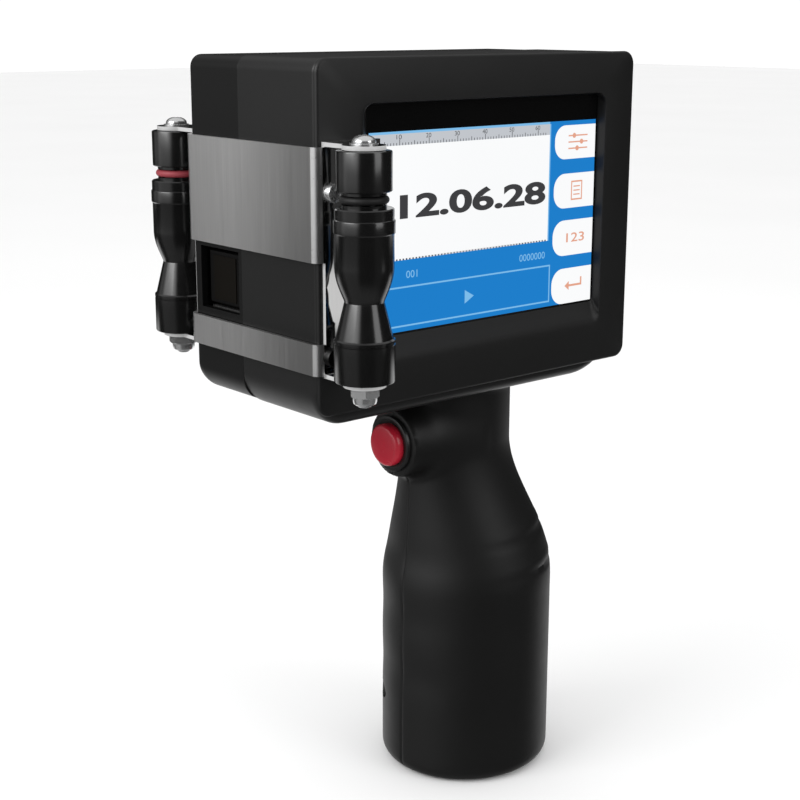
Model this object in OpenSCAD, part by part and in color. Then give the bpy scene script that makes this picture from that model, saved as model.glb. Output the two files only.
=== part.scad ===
// Handheld date code inkjet printer: a touch-screen head on a pistol grip.
// The origin is the centre of the grip's flat base. +Z is up, the screen
// faces -Y, the nozzle fires towards -X and the cartridge side is +Y.

/* [Head] */
// Length of the screen bezel, front to rear
bezel_len = 129; // [124:0.2:132]
// Height of the screen bezel
bezel_h = 100.3; // [98:0.1:103]
// Height of the bezel's top edge above the base
head_top = 242.7; // [240:0.1:246]
// Width of the head from the screen face to the cartridge side
head_w = 62.8; // [62.4:0.1:64]
// How far the head reaches in front of the grip's axis
head_front = 87.2; // [86:0.1:88]
// Wall thickness of the mouldings
wall = 2.2; // [2:0.1:2.4]
// Y of the seam between the two shells
seam_y = 5.9; // [5:0.1:6.5]

/* [Screen] */
// Width of the lit picture
picture_w = 94.1; // [90:0.1:95]
// Height of the lit picture
picture_h = 58.6; // [56:0.1:59]
// Depth of the glass below the bezel's face
glass_depth = 3.2; // [2.8:0.1:3.4]

/* [Guide plate] */
// Thickness of the sheet
sheet = 1.2; // [1:0.1:1.3]
// Top of the flanges and of the upper ears
plate_top = 220.3; // [219.6:0.1:221]
// Bottom of the flanges and of the lower ears
plate_bottom = 154.3; // [153.8:0.1:154.8]
// Top of the print window
window_top = 187.1; // [186.8:0.1:189]
// Bottom of the print window
window_bottom = 164.1; // [162:0.1:165]
// How far the flanges run back along the head
flange_len = 22.5; // [20:0.5:23]

/* [Rollers] */
// Distance of each roller axis from the centre plane
roller_y = 46.1; // [45:0.1:47]
// Distance of the roller axes in front of the grip's axis
roller_front = 82.8; // [82.5:0.1:83]
// Radius of the largest band
band_r = 8.5; // [8.4:0.1:8.6]
// Radius of the waist
waist_r = 5.5; // [5.2:0.1:6]
// Radius of the axle bolts
bolt_r = 2; // [2:0.01:2.02]

/* [Grip] */
// Half length of the grip's section, front to rear
grip_a = 29.6; // [29:0.1:31]
// Half width of the grip's section
grip_b = 28.4; // [27:0.1:29]
// Half length of the neck's section
neck_a = 20.5; // [20:0.1:21]
// Half width of the neck's section
neck_b = 15.4; // [15:0.1:16]
// Radius of the rounded edge round the base
base_round = 5; // [4:0.1:6]

/* [Trigger] */
// Radius of the red cap
cap_r = 7; // [6.9:0.01:7]
// Height of the button's axis
cap_z = 118.6; // [118:0.1:119]
// Distance of the cap's face in front of the grip's axis
cap_front = 38.3; // [37.8:0.1:38.6]
// Travel of the button
cap_travel = 1.8; // [1:0.1:2]

/* [Hidden] */
$fn = 48;

// Head: faces of the bezel and of the two shells behind it
face_y = -head_w / 2;
side_y = head_w / 2;
front_x = -head_front;
bezel_rear = front_x + bezel_len;
bezel_bottom = head_top - bezel_h;
bezel_round = 4;
rim = 1.1;                      // visible thickness of the bezel's rim
shell_y = face_y + rim;
lip = 3.6;                      // depth of the main shell's lower lip behind the bezel
shell_rear = bezel_rear - 2.5;
shell_top = head_top - 0.1;
shell_bottom = bezel_bottom - 3.8;
front_round = 11;               // bottom corner at the nozzle end
bay_round = 8;                  // the same corner of the cartridge shell
rear_round = 20;                // bottom corner at the rear
top_round = 4;
bay_drop = 0.2;                 // the cartridge shell sits this much inside the main shell
foot_drop = 1.5;                // and its bottom this much higher

// Screen: the picture's corner, the recess round it and the glass behind
picture_x = -66.5;
picture_z = 162.9;
recess = [-71, 28.9, 156, 230];         // rim on the bezel's face: x, x, z, z
opening = [-67.4, 28.4, 162.2, 229.4];  // foot of the sloped walls
glass = [-70.4, 31, 159, 232];
glass_y = face_y + glass_depth;
glass_t = 1.1;
lcd_t = 3.1;
lcd_back = glass_y + glass_t + lcd_t;
bracket_t = 0.8;
board_y = -14;
board_t = 1.6;
boss_at = [[-78, 235.5], [32.5, 235.5], [-77, 150], [27, 151]];

// Fasteners that join the shells
case_at = [[-80, 234.6], [31.2, 234.6], [-76.5, 147.4], [21, 148.6]];
case_boss_r = 3.2;
case_screw_r = 1.5;
case_head_r = 2.75;

// Guide plate
plate_x = front_x - 0.1 - sheet;        // front face
plate_y = side_y + 0.1 + sheet;         // outer face of each flange
front_face = [155, 218.9];              // bottom and top edge of the front
ear_r = 6;
flange_screw_at = [[-83.6, 206.4], [-70.5, 206.4], [-84.3, 160.4], [-70.5, 160.4]];
flange_screw_end = [-28.7, 28.7];       // tips on the screen side and the cartridge side
flange_head_r = 2.6;
flange_head_h = 2.4;

// Rollers: stations along the axle, from the bottom up
roller_x = -roller_front;
roller_foot = plate_bottom + sheet + 0.2;
roller_head = plate_top - sheet - 0.2;
ring_z = 205.8;
ring_r = 1.1;                   // radius of the ring's section
groove_r = 4.6;                 // floor of the ring's groove
ring_seat = 1.3;                // half width of the groove's floor
ring_gap = 2.2;                 // half width of the groove's mouth
bush_r = 3.5;
bush_bore = bolt_r + 0.04;
washer_t = 0.5;
head_z = plate_top + washer_t;  // seat of the bolt heads

// Turned profile shared by both rollers, as radius and height
roller_profile = [
    [bush_r, roller_foot], [8, roller_foot], [band_r, roller_foot + 0.5], [band_r, 167.3],
    [8.1, 168], [waist_r, 177.8], [waist_r + 0.5, 179.4], [7.7, 185.4], [8.2, 187.4],
    [8.2, 196.6], [band_r, 197], [band_r, 200.4], [8.2, 200.8], [8.2, ring_z - ring_gap],
    [6.2, ring_z - ring_gap], [6.2, ring_z - ring_seat], [groove_r, ring_z - ring_seat],
    [groove_r, ring_z + ring_seat], [6.2, ring_z + ring_seat], [6.2, ring_z + ring_gap],
    [7.7, ring_z + ring_gap], [7.7, roller_head - 0.5], [7.2, roller_head],
    [bush_r, roller_head]];

// Cartridge bay
bay = [-83.2, -8, 4, 28, 155, 228];     // carriage: x, x, y, y, z, z
clamp_x = -4;
clamp_z = 166;
door = [-50, 30, 156, 226];             // x, x, z, z
door_gap = 0.4;
hinge_x = 33.5;
hinge_y = side_y + 0.2;
hinge_r = 2.3;
door_knuckles = [[162, 172], [210, 220]];
shell_knuckles = [[172.4, 182], [200, 209.6]];
nozzle_window = [7.8, 27.8, 166.5, 185.5];  // y, y, z, z
magnet_z = 191;
catch = [door[0] - 2, door[0] + 9, 28.1, 28.7, magnet_z - 5, magnet_z + 5];

// Grip: its section blends from the neck down to the palm swell
neck_x = -6;
neck_top = shell_bottom;
grip_wall = 2.6;
swell_top = 116;
swell_end = 66;
flare_h = 6;
flare = 2;
grip_post_at = [[-24.3, 24], [24.3, 24], [-14, 91], [7, 127]];
post_r = 4;
neck_screw_at = [[-18, -9], [6, -9], [-18, 10.2], [6, 10.2]];

// Trigger
barrel_r = cap_r + 0.9;
cap_bore = cap_r + 0.07;
cap_face = -cap_front;
collar_x = cap_face + 3.4;
boss_x = collar_x + 1.2;
spring_r = 4.2;
spring_wire = 0.4;
cap_back = -27.5;
barrel_floor = -22;

// Cells
cell_r = 9.1;
cell_len = 65;
cell_z = 9;
cell_x = 9.8;

// Rear fittings
switch_y = -5;
switch_z = 217;
rocker_x = shell_rear - 1.9;
rocker_tilt = 8;
jack_y = -7.6;
jack_z = 190;
usb_z = 170;

// ---------- helpers ----------

// Box between two corners, given as x, x, y, y, z, z
module block(b) {
    translate([b[0], b[2], b[4]]) cube([b[1] - b[0], b[3] - b[2], b[5] - b[4]]);
}

module rod_x(y, z, r, x0, x1) {
    translate([x0, y, z]) rotate([0, 90, 0]) cylinder(r = r, h = x1 - x0);
}

module rod_y(x, z, r, y0, y1) {
    translate([x, y0, z]) rotate([-90, 0, 0]) cylinder(r = r, h = y1 - y0);
}

module rod_z(x, y, r, z0, z1) {
    translate([x, y, z0]) cylinder(r = r, h = z1 - z0);
}

// Extrudes an outline drawn in X and Z between two values of Y
module slab(y0, y1) {
    translate([0, y1, 0]) rotate([90, 0, 0]) linear_extrude(y1 - y0) children();
}

function arc(cx, cz, r, a0, a1, n = 8) =
    [for (i = [0:n]) let (a = a0 + (a1 - a0) * i / n) [cx + r * cos(a), cz + r * sin(a)]];

// Rounded rectangle with a radius for each corner:
// top rear, top front, bottom front, bottom rear
function rounded_points(x0, x1, z0, z1, r) = concat(
    arc(x1 - r[0], z1 - r[0], r[0], 0, 90),
    arc(x0 + r[1], z1 - r[1], r[1], 90, 180),
    arc(x0 + r[2], z0 + r[2], r[2], 180, 270),
    arc(x1 - r[3], z0 + r[3], r[3], 270, 360));

module rounded(x0, x1, z0, z1, r) {
    polygon(rounded_points(x0, x1, z0, z1, r));
}

// Lays an outline drawn in X and Z at a value of Y
function at_y(y, outline) = [for (p = outline) [p[0], y, p[1]]];

// Closed skin through rings of equally many points, each ring's points running
// anticlockwise as seen from the side that the last ring faces
module loft(rings) {
    n = len(rings[0]);
    m = len(rings);
    sides = [for (k = [0:m - 2], i = [0:n - 1]) let (j = (i + 1) % n)
        each [[k * n + i, k * n + n + i, k * n + j], [k * n + j, k * n + n + i, k * n + n + j]]];
    polyhedron([for (ring = rings) each ring],
        concat(sides, [[for (i = [0:n - 1]) i]], [[for (i = [n - 1:-1:0]) (m - 1) * n + i]]),
        convexity = 6);
}

// Outline of the shells, inset at the ends and top by side and at the bottom by foot.
// corner is the radius of the bottom corner at the nozzle end.
function head_outline(side = 0, foot = 0, corner = front_round) =
    rounded_points(front_x + side, shell_rear - side, shell_bottom + foot, shell_top - side,
        [max(top_round - side, 1), max(top_round - side, 1),
         corner - max(side, foot) / 2, rear_round - max(side, foot) / 2]);

// Inset of a rounded edge of radius r at a distance d from the face
function edge_inset(r, d) = d >= r ? 0 : r - sqrt(r * r - (r - d) * (r - d));

// Solid head between two values of Y, with the edge at one end rounded.
// drop and foot_drop set the outline inside the head's own, at the sides and at the bottom.
module head_solid(y0, y1, edge, foot_edge, round_at_start, drop = 0, foot_drop = 0,
                  corner = front_round) {
    steps = [for (s = [0, 0.15, 0.4, 0.7, 1]) s * foot_edge];
    last = len(steps) - 1;
    levels = round_at_start
        ? concat([[y1, foot_edge]], [for (i = [last:-1:0]) [y0 + steps[i], steps[i]]])
        : concat([for (d = steps) [y1 - d, d]], [[y0, foot_edge]]);
    loft([for (l = levels) at_y(l[0], head_outline(drop + edge_inset(edge, l[1]),
        foot_drop + edge_inset(foot_edge, l[1]), corner))]);
}

// Rising wire of radius r that eases from one point to another
module rising_wire(from, to, r) {
    n = 8;
    steps = 12;
    loft([for (k = [0:steps]) let (t = k / steps, p = from + (to - from) * t,
        x = from[0] + (to[0] - from[0]) * ease(t), y = from[1] + (to[1] - from[1]) * ease(t))
        [for (i = [0:n - 1]) [x + r * cos(360 * i / n), y + r * sin(360 * i / n), p[2]]]]);
}

// ---------- head ----------

// Outline of the bezel's plug, and with no gap of the mouth that it fits
module plug_outline(gap) {
    rounded(front_x + wall + gap, shell_rear - wall - gap, bezel_bottom + 1 + gap,
            shell_top - wall - gap, [2, 2, 8, 16]);
}

module main_shell() {
    color("#232324") difference() {
        union() {
            difference() {
                head_solid(shell_y, seam_y, 1, 3.6, true);
                slab(shell_y + lip, seam_y + 1) polygon(head_outline(wall, wall));
                // mouth for the bezel's plug, above a lip along the bottom
                slab(shell_y - 1, shell_y + lip + 1) plug_outline(0);
            }
            for (p = case_at) rod_y(p[0], p[1], case_boss_r, -8, seam_y);
            // webs that tie the screw bosses to the walls
            block([-85.4, -80, -8, seam_y, 233.8, 235.4]);
            block([31.2, shell_rear - wall + 0.3, -8, seam_y, 233.8, 235.4]);
            block([-77.3, -75.7, -8, seam_y, 139, 147.4]);
            block([20.2, 21.8, -8, seam_y, 139, 148.6]);
        }
        for (p = case_at) rod_y(p[0], p[1], case_screw_r + 0.05, -6, seam_y + 1);
        // power switch, charging jack and data port in the rear wall
        block([30, 45, switch_y - 4.3, switch_y + 4.3, switch_z - 6.6, switch_z + 6.6]);
        rod_x(jack_y, jack_z, 4.25, 30, 45);
        block([30, 45, board_y + board_t - 0.3, -6.4, usb_z - 6.85, usb_z + 6.85]);
        // lead hole and screws into the neck
        block([-14.6, 1.6, -9.4, -3.2, 130, 145]);
        for (p = neck_screw_at) if (p[1] < seam_y) rod_z(p[0], p[1], 1.6, 130, 145);
        for (p = flange_screw_at) rod_y(p[0], p[1], 1.05, -40, -26);
    }
}

module hinge_cut(spans, r) {
    for (s = spans) rod_z(hinge_x, hinge_y, r, s[0] - 0.4, s[1] + 0.4);
}

module cartridge_shell() {
    color("#1d1d1e") difference() {
        union() {
            difference() {
                head_solid(seam_y, side_y, 1, 4, false, bay_drop, foot_drop, bay_round);
                slab(seam_y - 1, side_y - wall)
                    polygon(head_outline(wall + bay_drop, wall + foot_drop, bay_round));
            }
            for (p = case_at) rod_y(p[0], p[1], case_boss_r, seam_y, side_y - 1);
            // pad that the grip's neck carries
            intersection() {
                translate([neck_x, 0, shell_bottom]) scale([neck_a + flare, neck_b + flare, 1])
                    cylinder(r = 1, h = foot_drop + 0.6);
                block([-40, 30, seam_y, side_y, shell_bottom - 1, shell_bottom + 4]);
            }
            // front stop that the closed door rests on
            block([door[0] - 3, door[0] + 2, side_y - wall - 1.6, side_y - wall + 0.1,
                   bay[4] + 2.2, bay[5] - 2.2]);
            for (s = shell_knuckles) {
                rod_z(hinge_x, hinge_y, hinge_r, s[0], s[1]);
                block([hinge_x, hinge_x + 3.4, side_y - wall, hinge_y + 1, s[0], s[1]]);
            }
        }
        for (p = case_at) {
            rod_y(p[0], p[1], case_screw_r + 0.05, seam_y - 1, side_y + 1);
            rod_y(p[0], p[1], case_head_r + 0.15, side_y - 3.4, side_y + 1);
        }
        block([-90, -80, nozzle_window[0], nozzle_window[1], nozzle_window[2], nozzle_window[3]]);
        // door opening and the room that its knuckles turn in
        block([door[0] - door_gap, door[1] + door_gap, side_y - wall - 0.1, side_y + 1,
               door[2] - door_gap, door[3] + door_gap]);
        block([door[0] + 2, door[1] + door_gap, side_y - wall - 2, side_y + 1,
               door[2] - door_gap, door[3] + door_gap]);
        // slot in the stop that holds the catch plate
        block([catch[0] - 0.05, catch[1], catch[2] - 0.05, catch[3] + 0.05,
               catch[4] - 0.05, catch[5] + 0.05]);
        hinge_cut(door_knuckles, 3.5);
        for (s = door_knuckles)
            block([door[1], hinge_x, side_y - 4, side_y + 2, s[0] - 0.4, s[1] + 0.4]);
        rod_z(hinge_x, hinge_y, 1, 160, 222);
        for (p = neck_screw_at) if (p[1] > seam_y) rod_z(p[0], p[1], 1.6, 130, 145);
        for (p = flange_screw_at) rod_y(p[0], p[1], 1.05, 26, 40);
    }
}

module screen_bezel() {
    r = bezel_round;
    color("#212122") difference() {
        union() {
            loft([for (d = [rim, 0.3, 0]) let (inset = edge_inset(rim, d))
                at_y(face_y + d, rounded_points(front_x + inset, bezel_rear - inset,
                    bezel_bottom + inset, head_top - inset,
                    [r - inset, r - inset, r - inset, r - inset]))]);
            // plug that locates the bezel in the shell
            slab(shell_y, glass_y + 1.4) plug_outline(0.2);
            for (p = boss_at) rod_y(p[0], p[1], 3, glass_y, lcd_back);
        }
        // sloped recess
        loft([at_y(glass_y, rounded_points(opening[0], opening[1], opening[2], opening[3],
                  [2, 2, 2, 2])),
              at_y(face_y, rounded_points(recess[0], recess[1], recess[2], recess[3],
                  [4, 4, 4, 3])),
              at_y(face_y - 1, rounded_points(recess[0], recess[1], recess[2], recess[3],
                  [4, 4, 4, 3]))]);
        block([opening[0], opening[1], glass_y - 1, glass_y + 5, opening[2], opening[3]]);
        // pocket for the glass and the display
        block([glass[0] - 0.2, glass[1] + 0.2, glass_y, glass_y + 5,
               glass[2] - 0.2, glass[3] + 0.2]);
        for (p = boss_at) rod_y(p[0], p[1], 1.3, glass_y + 0.6, lcd_back + 1);
        for (p = flange_screw_at) rod_y(p[0], p[1], 1.05, face_y - 1, flange_screw_end[0] + 0.2);
    }
}

module touch_glass() {
    color("#101418") block([glass[0], glass[1], glass_y, glass_y + glass_t, glass[2], glass[3]]);
}

module lcd_panel() {
    color("#1b7fcb") block([picture_x - 3.9, picture_x + picture_w + 3.4, glass_y + glass_t,
                            lcd_back, picture_z - 3.4, picture_z + picture_h + 5]);
}

module lcd_bracket() {
    color("#b8bcc0") difference() {
        slab(lcd_back, lcd_back + bracket_t)
            rounded(-82, 35.4, 146.6, 238.6, [2, 2, 6, 15]);
        block([-62, 20, -30, -20, 168, 216]);
        for (p = boss_at) rod_y(p[0], p[1], 1.4, -30, -20);
    }
}

module lcd_ribbon() {
    color("#c08a2a") block([-20, 2, lcd_back, board_y, 176, 176.4]);
}

module main_board() {
    color("#1f5f3a") difference() {
        slab(board_y, board_y + board_t)
            rounded(-82, 34.2, 145.4, 238.2, [2, 2, 6, 14]);
        for (p = boss_at) rod_y(p[0], p[1], 1.4, -20, -5);
    }
}

module board_components() {
    y = board_y + board_t;
    color("#17181a") {
        block([-34, -18, y, y + 1.4, 190, 206]);        // processor
        block([-12, -2, y, y + 1.1, 190, 206]);         // memory
        block([-46, -40, y, y + 1.2, 178, 184]);        // head driver
        block([-7, 3, y, y + 9, 148, 154]);             // battery socket
        block([-16, -10, y, y + 6, 148, 154]);          // trigger socket
        block([-60, -42, y, y + 2.4, 212, 216]);        // cartridge flex socket
        block([-24, 4, y, y + 2, 222, 226]);            // display socket
        for (i = [0:3]) rod_y(8 * i, 232, 2.6, y, y + 5.5); // capacitors
    }
}

module buzzer() {
    color("#202020") difference() {
        rod_y(12, 163, 4.5, board_y + board_t, board_y + board_t + 5);
        rod_y(12, 163, 0.8, board_y + board_t + 3, board_y + board_t + 6);
    }
}

module board_standoffs() {
    color("#c9a44a") for (p = boss_at) difference() {
        translate([p[0], lcd_back + bracket_t, p[1]]) rotate([-90, 0, 0])
            cylinder(r = 3.1, h = board_y - lcd_back - bracket_t, $fn = 6);
        rod_y(p[0], p[1], 1.3, -30, -10);
    }
}

module board_screws() {
    y = board_y + board_t;
    color("#c8ccd0") for (p = boss_at) difference() {
        union() {
            rod_y(p[0], p[1], 1.25, lcd_back - 2.4, y);
            rod_y(p[0], p[1], 2.3, y, y + 1.6);
        }
        rod_y(p[0], p[1], 0.8, y + 0.7, y + 3);
    }
}

module case_screws() {
    seat = side_y - 3.4;
    color("#2a2b2d") for (p = case_at) difference() {
        union() {
            rod_y(p[0], p[1], case_screw_r, -5, seat);
            rod_y(p[0], p[1], case_head_r, seat, seat + 2);
        }
        translate([p[0], seat + 0.8, p[1]]) rotate([-90, 0, 0])
            cylinder(r = 1.3, h = 3, $fn = 6);
    }
}

// ---------- guide plate and rollers ----------

// One side of the plate: a flange with an ear bent out at each end.
// s is -1 on the screen side and 1 on the cartridge side.
module flange(s) {
    difference() {
        union() {
            translate([plate_x, s > 0 ? plate_y - sheet : -plate_y, plate_bottom])
                cube([flange_len, sheet, plate_top - plate_bottom]);
            for (z = [plate_bottom, plate_top - sheet]) {
                translate([plate_x, s > 0 ? plate_y - sheet : -roller_y, z])
                    cube([roller_x - plate_x + ear_r, roller_y - plate_y + sheet, sheet]);
                translate([roller_x, s * roller_y, z]) cylinder(r = ear_r, h = sheet);
            }
        }
        rod_z(roller_x, s * roller_y, bolt_r + 0.05, 150, 225);
        for (p = flange_screw_at) rod_y(p[0], p[1], 1.1, s * 40 - 10, s * 40 + 10);
    }
}

module guide_plate() {
    color("#a9abae") difference() {
        union() {
            for (z = [[front_face[0], window_bottom], [window_top, front_face[1]]])
                block([plate_x, plate_x + sheet, -plate_y, plate_y, z[0], z[1]]);
            for (s = [-1, 1]) flange(s);
        }
        // the window takes the front of both bends with it
        block([plate_x - 1, plate_x + sheet, -40, 40, window_bottom, window_top]);
    }
}

module plate_screws() {
    color("#d4d6d8") for (s = [-1, 1], p = flange_screw_at) difference() {
        union() {
            if (s > 0) rod_y(p[0], p[1], 1, flange_screw_end[1], plate_y);
            else rod_y(p[0], p[1], 1, -plate_y, flange_screw_end[0]);
            translate([p[0], s * plate_y, p[1]]) rotate([-90 * s, 0, 0])
                cylinder(r = flange_head_r, h = flange_head_h);
        }
        // hexagonal socket
        translate([p[0], s * (plate_y + 1), p[1]]) rotate([-90 * s, 0, 0])
            cylinder(r = 1.4, h = flange_head_h, $fn = 6);
    }
}

module axle_bolts() {
    color("#cfd2d4") for (s = [-1, 1]) difference() {
        union() {
            rod_z(roller_x, s * roller_y, bolt_r, plate_bottom - 5.9, head_z);
            translate([roller_x, s * roller_y, head_z])
                rotate_extrude() polygon(concat([[0, 0], [3.6, 0]],
                    [for (a = [0:15:75]) [3.6 * cos(a * 0.8), 2.2 * sin(a * 1.2)]], [[0, 2.2]]));
        }
        translate([roller_x, s * roller_y, head_z + 0.9]) cylinder(r = 1.4, h = 3, $fn = 6);
    }
}

module axle_washers() {
    color("#dadcde") for (s = [-1, 1]) difference() {
        rod_z(roller_x, s * roller_y, 4, plate_top, plate_top + washer_t);
        rod_z(roller_x, s * roller_y, bolt_r + 0.05, plate_top - 1, plate_top + 2);
    }
}

module axle_nuts() {
    color("#d8dbdd") for (s = [-1, 1]) difference() {
        union() {
            translate([roller_x, s * roller_y, plate_bottom - 3])
                cylinder(r = 4.5, h = 3, $fn = 6);
            rod_z(roller_x, s * roller_y, 3.4, plate_bottom - 5.2, plate_bottom - 3);
        }
        rod_z(roller_x, s * roller_y, bolt_r + 0.03, plate_bottom - 7, plate_bottom + 1);
    }
}

module roller(s) {
    translate([roller_x, s * roller_y, 0]) rotate_extrude() polygon(roller_profile);
}

module bushes(s) {
    for (z = [[roller_foot, roller_foot + 8], [roller_head - 8, roller_head]]) difference() {
        rod_z(roller_x, s * roller_y, bush_r, z[0], z[1]);
        rod_z(roller_x, s * roller_y, bush_bore, z[0] - 1, z[1] + 1);
    }
}

module grip_ring(s) {
    translate([roller_x, s * roller_y, ring_z])
        rotate_extrude() translate([groove_r + ring_r + 0.05, 0]) circle(r = ring_r, $fn = 32);
}

module encoder_roller() {
    color("#18181a") difference() {
        roller(1);
        // groove for the coded magnet in the foot
        translate([roller_x, roller_y, 0]) rotate_extrude()
            polygon([[5, roller_foot - 1], [7, roller_foot - 1],
                     [7, roller_foot + 4], [5, roller_foot + 4]]);
    }
}

module encoder_ring() {
    color("#9c3a44") grip_ring(1);
}

module encoder_bushes() {
    color("#b8863b") bushes(1);
}

module encoder_magnet() {
    color("#4a4a4e") difference() {
        rod_z(roller_x, roller_y, 7, roller_foot + 0.2, roller_foot + 4);
        rod_z(roller_x, roller_y, 5, roller_foot - 1, roller_foot + 5);
    }
}

module encoder_sensor() {
    color("#1f5f3a") difference() {
        union() {
            block([-84, -78, 26.4, 27.8, 152.2, 154.6]);
            block([-83, -80, 27.8, 29, 152.6, 154.4]);
        }
        rod_y(-79, 153.4, 0.6, 20, 30);
    }
}

module guide_roller() {
    color("#18181a") roller(-1);
}

module guide_ring() {
    color("#151516") grip_ring(-1);
}

module guide_bushes() {
    color("#b8863b") bushes(-1);
}

// ---------- cartridge bay ----------

module cartridge_carriage() {
    color("#2c2c2e") difference() {
        union() {
            block([bay[0], clamp_x + 3.5, bay[2] - 1.8, bay[3], bay[4], bay[4] + 2]);
            block([bay[0], bay[1], bay[2] - 1.8, bay[3], bay[5] - 2, bay[5]]);
            block([bay[0], bay[1], bay[2] - 1.8, bay[2], bay[4], bay[5]]);
            block([bay[0], bay[0] + 1.6, bay[2] - 1.8, bay[3], bay[4], bay[5]]);
            // ears for the clamp's pin
            for (y = [bay[2] - 1.8, bay[3] - 2])
                block([bay[1] - 1, clamp_x + 3.5, y, y + 2, bay[4], clamp_z + 3.5]);
        }
        block([-90, -80, nozzle_window[0] - 0.3, nozzle_window[1] + 0.3,
               nozzle_window[2], nozzle_window[3]]);
        rod_y(clamp_x, clamp_z, 1.5, 0, 40);
        for (x = [-70, -20], z = [bay[4] + 6, bay[5] - 6]) rod_y(x, z, 1.1, 0, 4.5);
        block([-58.6, -57.4, 0, bay[2] + 1, 212.2, 215.8]);     // slot for the flex
    }
}

module carriage_screws() {
    color("#c8ccd0") for (x = [-70, -20], z = [bay[4] + 6, bay[5] - 6]) {
        rod_y(x, z, 1, -2, bay[2]);
        rod_y(x, z, 1.9, bay[2], bay[2] + 1);
    }
}

module ink_cartridge() {
    color("#141416") {
        difference() {
            union() {
                block([-81, -9.2, 5.7, 27.4, bay[4] + 2.2, bay[5] - 2.2]);
                // print head snout
                block([-84.9, -81, 9.4, 26.2, 168, 184]);
            }
            // finger recess in the back
            block([-12, -8, 10, 23, 206, 220]);
        }
    }
}

module nozzle_plate() {
    color("#6d5a33") block([-85.2, -84.9, 12, 23.6, 169.2, 182.8]);
}

module contact_board() {
    color("#1f5f3a") block([-78, -58, bay[2], bay[2] + 1, 190, 216]);
}

module contact_pins() {
    color("#d7b455") for (i = [0:5], j = [0:3])
        rod_y(-75 + 2.8 * i, 194 + 6 * j, 0.6, bay[2] + 1, 5.6);
}

module contact_flex() {
    color("#c08a2a") union() {
        block([-58.4, -58, board_y + board_t + 2.4, bay[2] - 1.8, 212.4, 215.6]);
        block([-58, -57.6, bay[2] - 1.8, bay[2] + 1, 212.4, 215.6]);
    }
}

module cartridge_clamp() {
    color("#34363a") difference() {
        union() {
            rod_y(clamp_x, clamp_z, 3, bay[2] + 0.5, bay[3] - 2.3);
            block([clamp_x - 1.5, clamp_x + 1.5, bay[2] + 3, bay[3] - 3, clamp_z, 203]);
            // nose that bears on the back of the cartridge
            block([-9, clamp_x, bay[2] + 6, bay[3] - 6, 198, 203]);
            // finger tab
            block([clamp_x - 1.5, clamp_x + 4, bay[2] + 5, bay[3] - 5, 203, 205]);
        }
        rod_y(clamp_x, clamp_z, 1.55, 0, 40);
    }
}

module clamp_pin() {
    color("#c8ccd0") rod_y(clamp_x, clamp_z, 1.5, bay[2] - 1.8, bay[3]);
}

module cartridge_door() {
    color("#202021") difference() {
        union() {
            block([door[0], door[1], side_y - wall, side_y, door[2], door[3]]);
            // finger lip along the free edge
            block([door[0], door[0] + 3, side_y, side_y + 1.6, 180, 202]);
            for (s = door_knuckles) {
                rod_z(hinge_x, hinge_y, hinge_r, s[0], s[1]);
                block([door[1] - 1, hinge_x, side_y - 1.6, side_y + 0.6, s[0], s[1]]);
            }
        }
        rod_z(hinge_x, hinge_y, 1.05, 150, 230);
        rod_y(door[0] + 6, magnet_z, 2.5, side_y - wall - 1, side_y - 0.8);
    }
}

module hinge_pins() {
    color("#c8ccd0") for (z = [[163, 181], [201, 219]]) rod_z(hinge_x, hinge_y, 1, z[0], z[1]);
}

module door_magnet() {
    color("#b9bcc0") rod_y(door[0] + 6, magnet_z, 2.5, side_y - wall, side_y - 0.8);
}

module catch_plate() {
    color("#b9bcc0") block(catch);
}

// ---------- grip ----------

function ease(t) = let (u = min(max(t, 0), 1)) u * u * (3 - 2 * u);
function swell(z) = ease((swell_top - z) / (swell_top - swell_end));
function shift(z) = neck_x * (1 - ease((swell_top - z) / (swell_top - swell_end - 8)));
function flare_at(z) = flare * pow(max(z - neck_top + flare_h, 0) / flare_h, 2);
function half_a(z) = neck_a + (grip_a - neck_a) * swell(z) + flare_at(z)
    - edge_inset(base_round, z);
function half_b(z) = neck_b + (grip_b - neck_b) * swell(z) + flare_at(z)
    - edge_inset(base_round, z);

grip_levels = concat([0, 0.5, 1.4, 2.5, base_round], [for (z = [14:12:62]) z],
    [for (z = [68:6:116]) z], [124, neck_top - flare_h, neck_top - 3.5, neck_top - 1.6,
    neck_top]);

// Elliptical loft through the levels, inset by d
module grip_loft(levels, d) {
    n = 40;
    loft([for (z = levels) [for (i = [0:n - 1])
        [shift(z) + (half_a(z) - d) * cos(360 * i / n), (half_b(z) - d) * sin(360 * i / n), z]]]);
}

module trigger_boss() {
    hull() {
        rod_x(0, cap_z, 11.4, boss_x, boss_x + 1.5);
        rod_x(0, cap_z - 4, 11.8, -22, -20);
        translate([-17, 0, 98]) sphere(r = 4, $fn = 24);
    }
}

// s is -1 for the half on the screen side
module grip_half(s) {
    inner_levels = concat([3], [for (z = grip_levels) if (z > 3) z]);
    difference() {
        union() {
            difference() {
                union() {
                    grip_loft(grip_levels, 0);
                    trigger_boss();
                }
                grip_loft(concat(inner_levels, [neck_top + 1]), grip_wall);
            }
            intersection() {
                grip_loft(grip_levels, 0.5);
                union() {
                    for (p = grip_post_at) rod_y(p[0], p[1], post_r, -26, 26);
                    for (p = neck_screw_at) rod_z(p[0], p[1], 3, neck_top - 12, neck_top);
                }
            }
        }
        // the halves meet on the centre plane
        translate([-60, s > 0 ? -60 : 0, -10]) cube([120, 60, 160]);
        rod_x(0, cap_z, barrel_r + 0.02, -50, -19);
        for (p = grip_post_at) {
            rod_y(p[0], p[1], 1.35, -10, 30);
            rod_y(p[0], p[1], 2.9, 9, 40);
        }
        for (p = neck_screw_at) rod_z(p[0], p[1], 1.45, neck_top - 9.5, neck_top + 1);
    }
}

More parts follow.
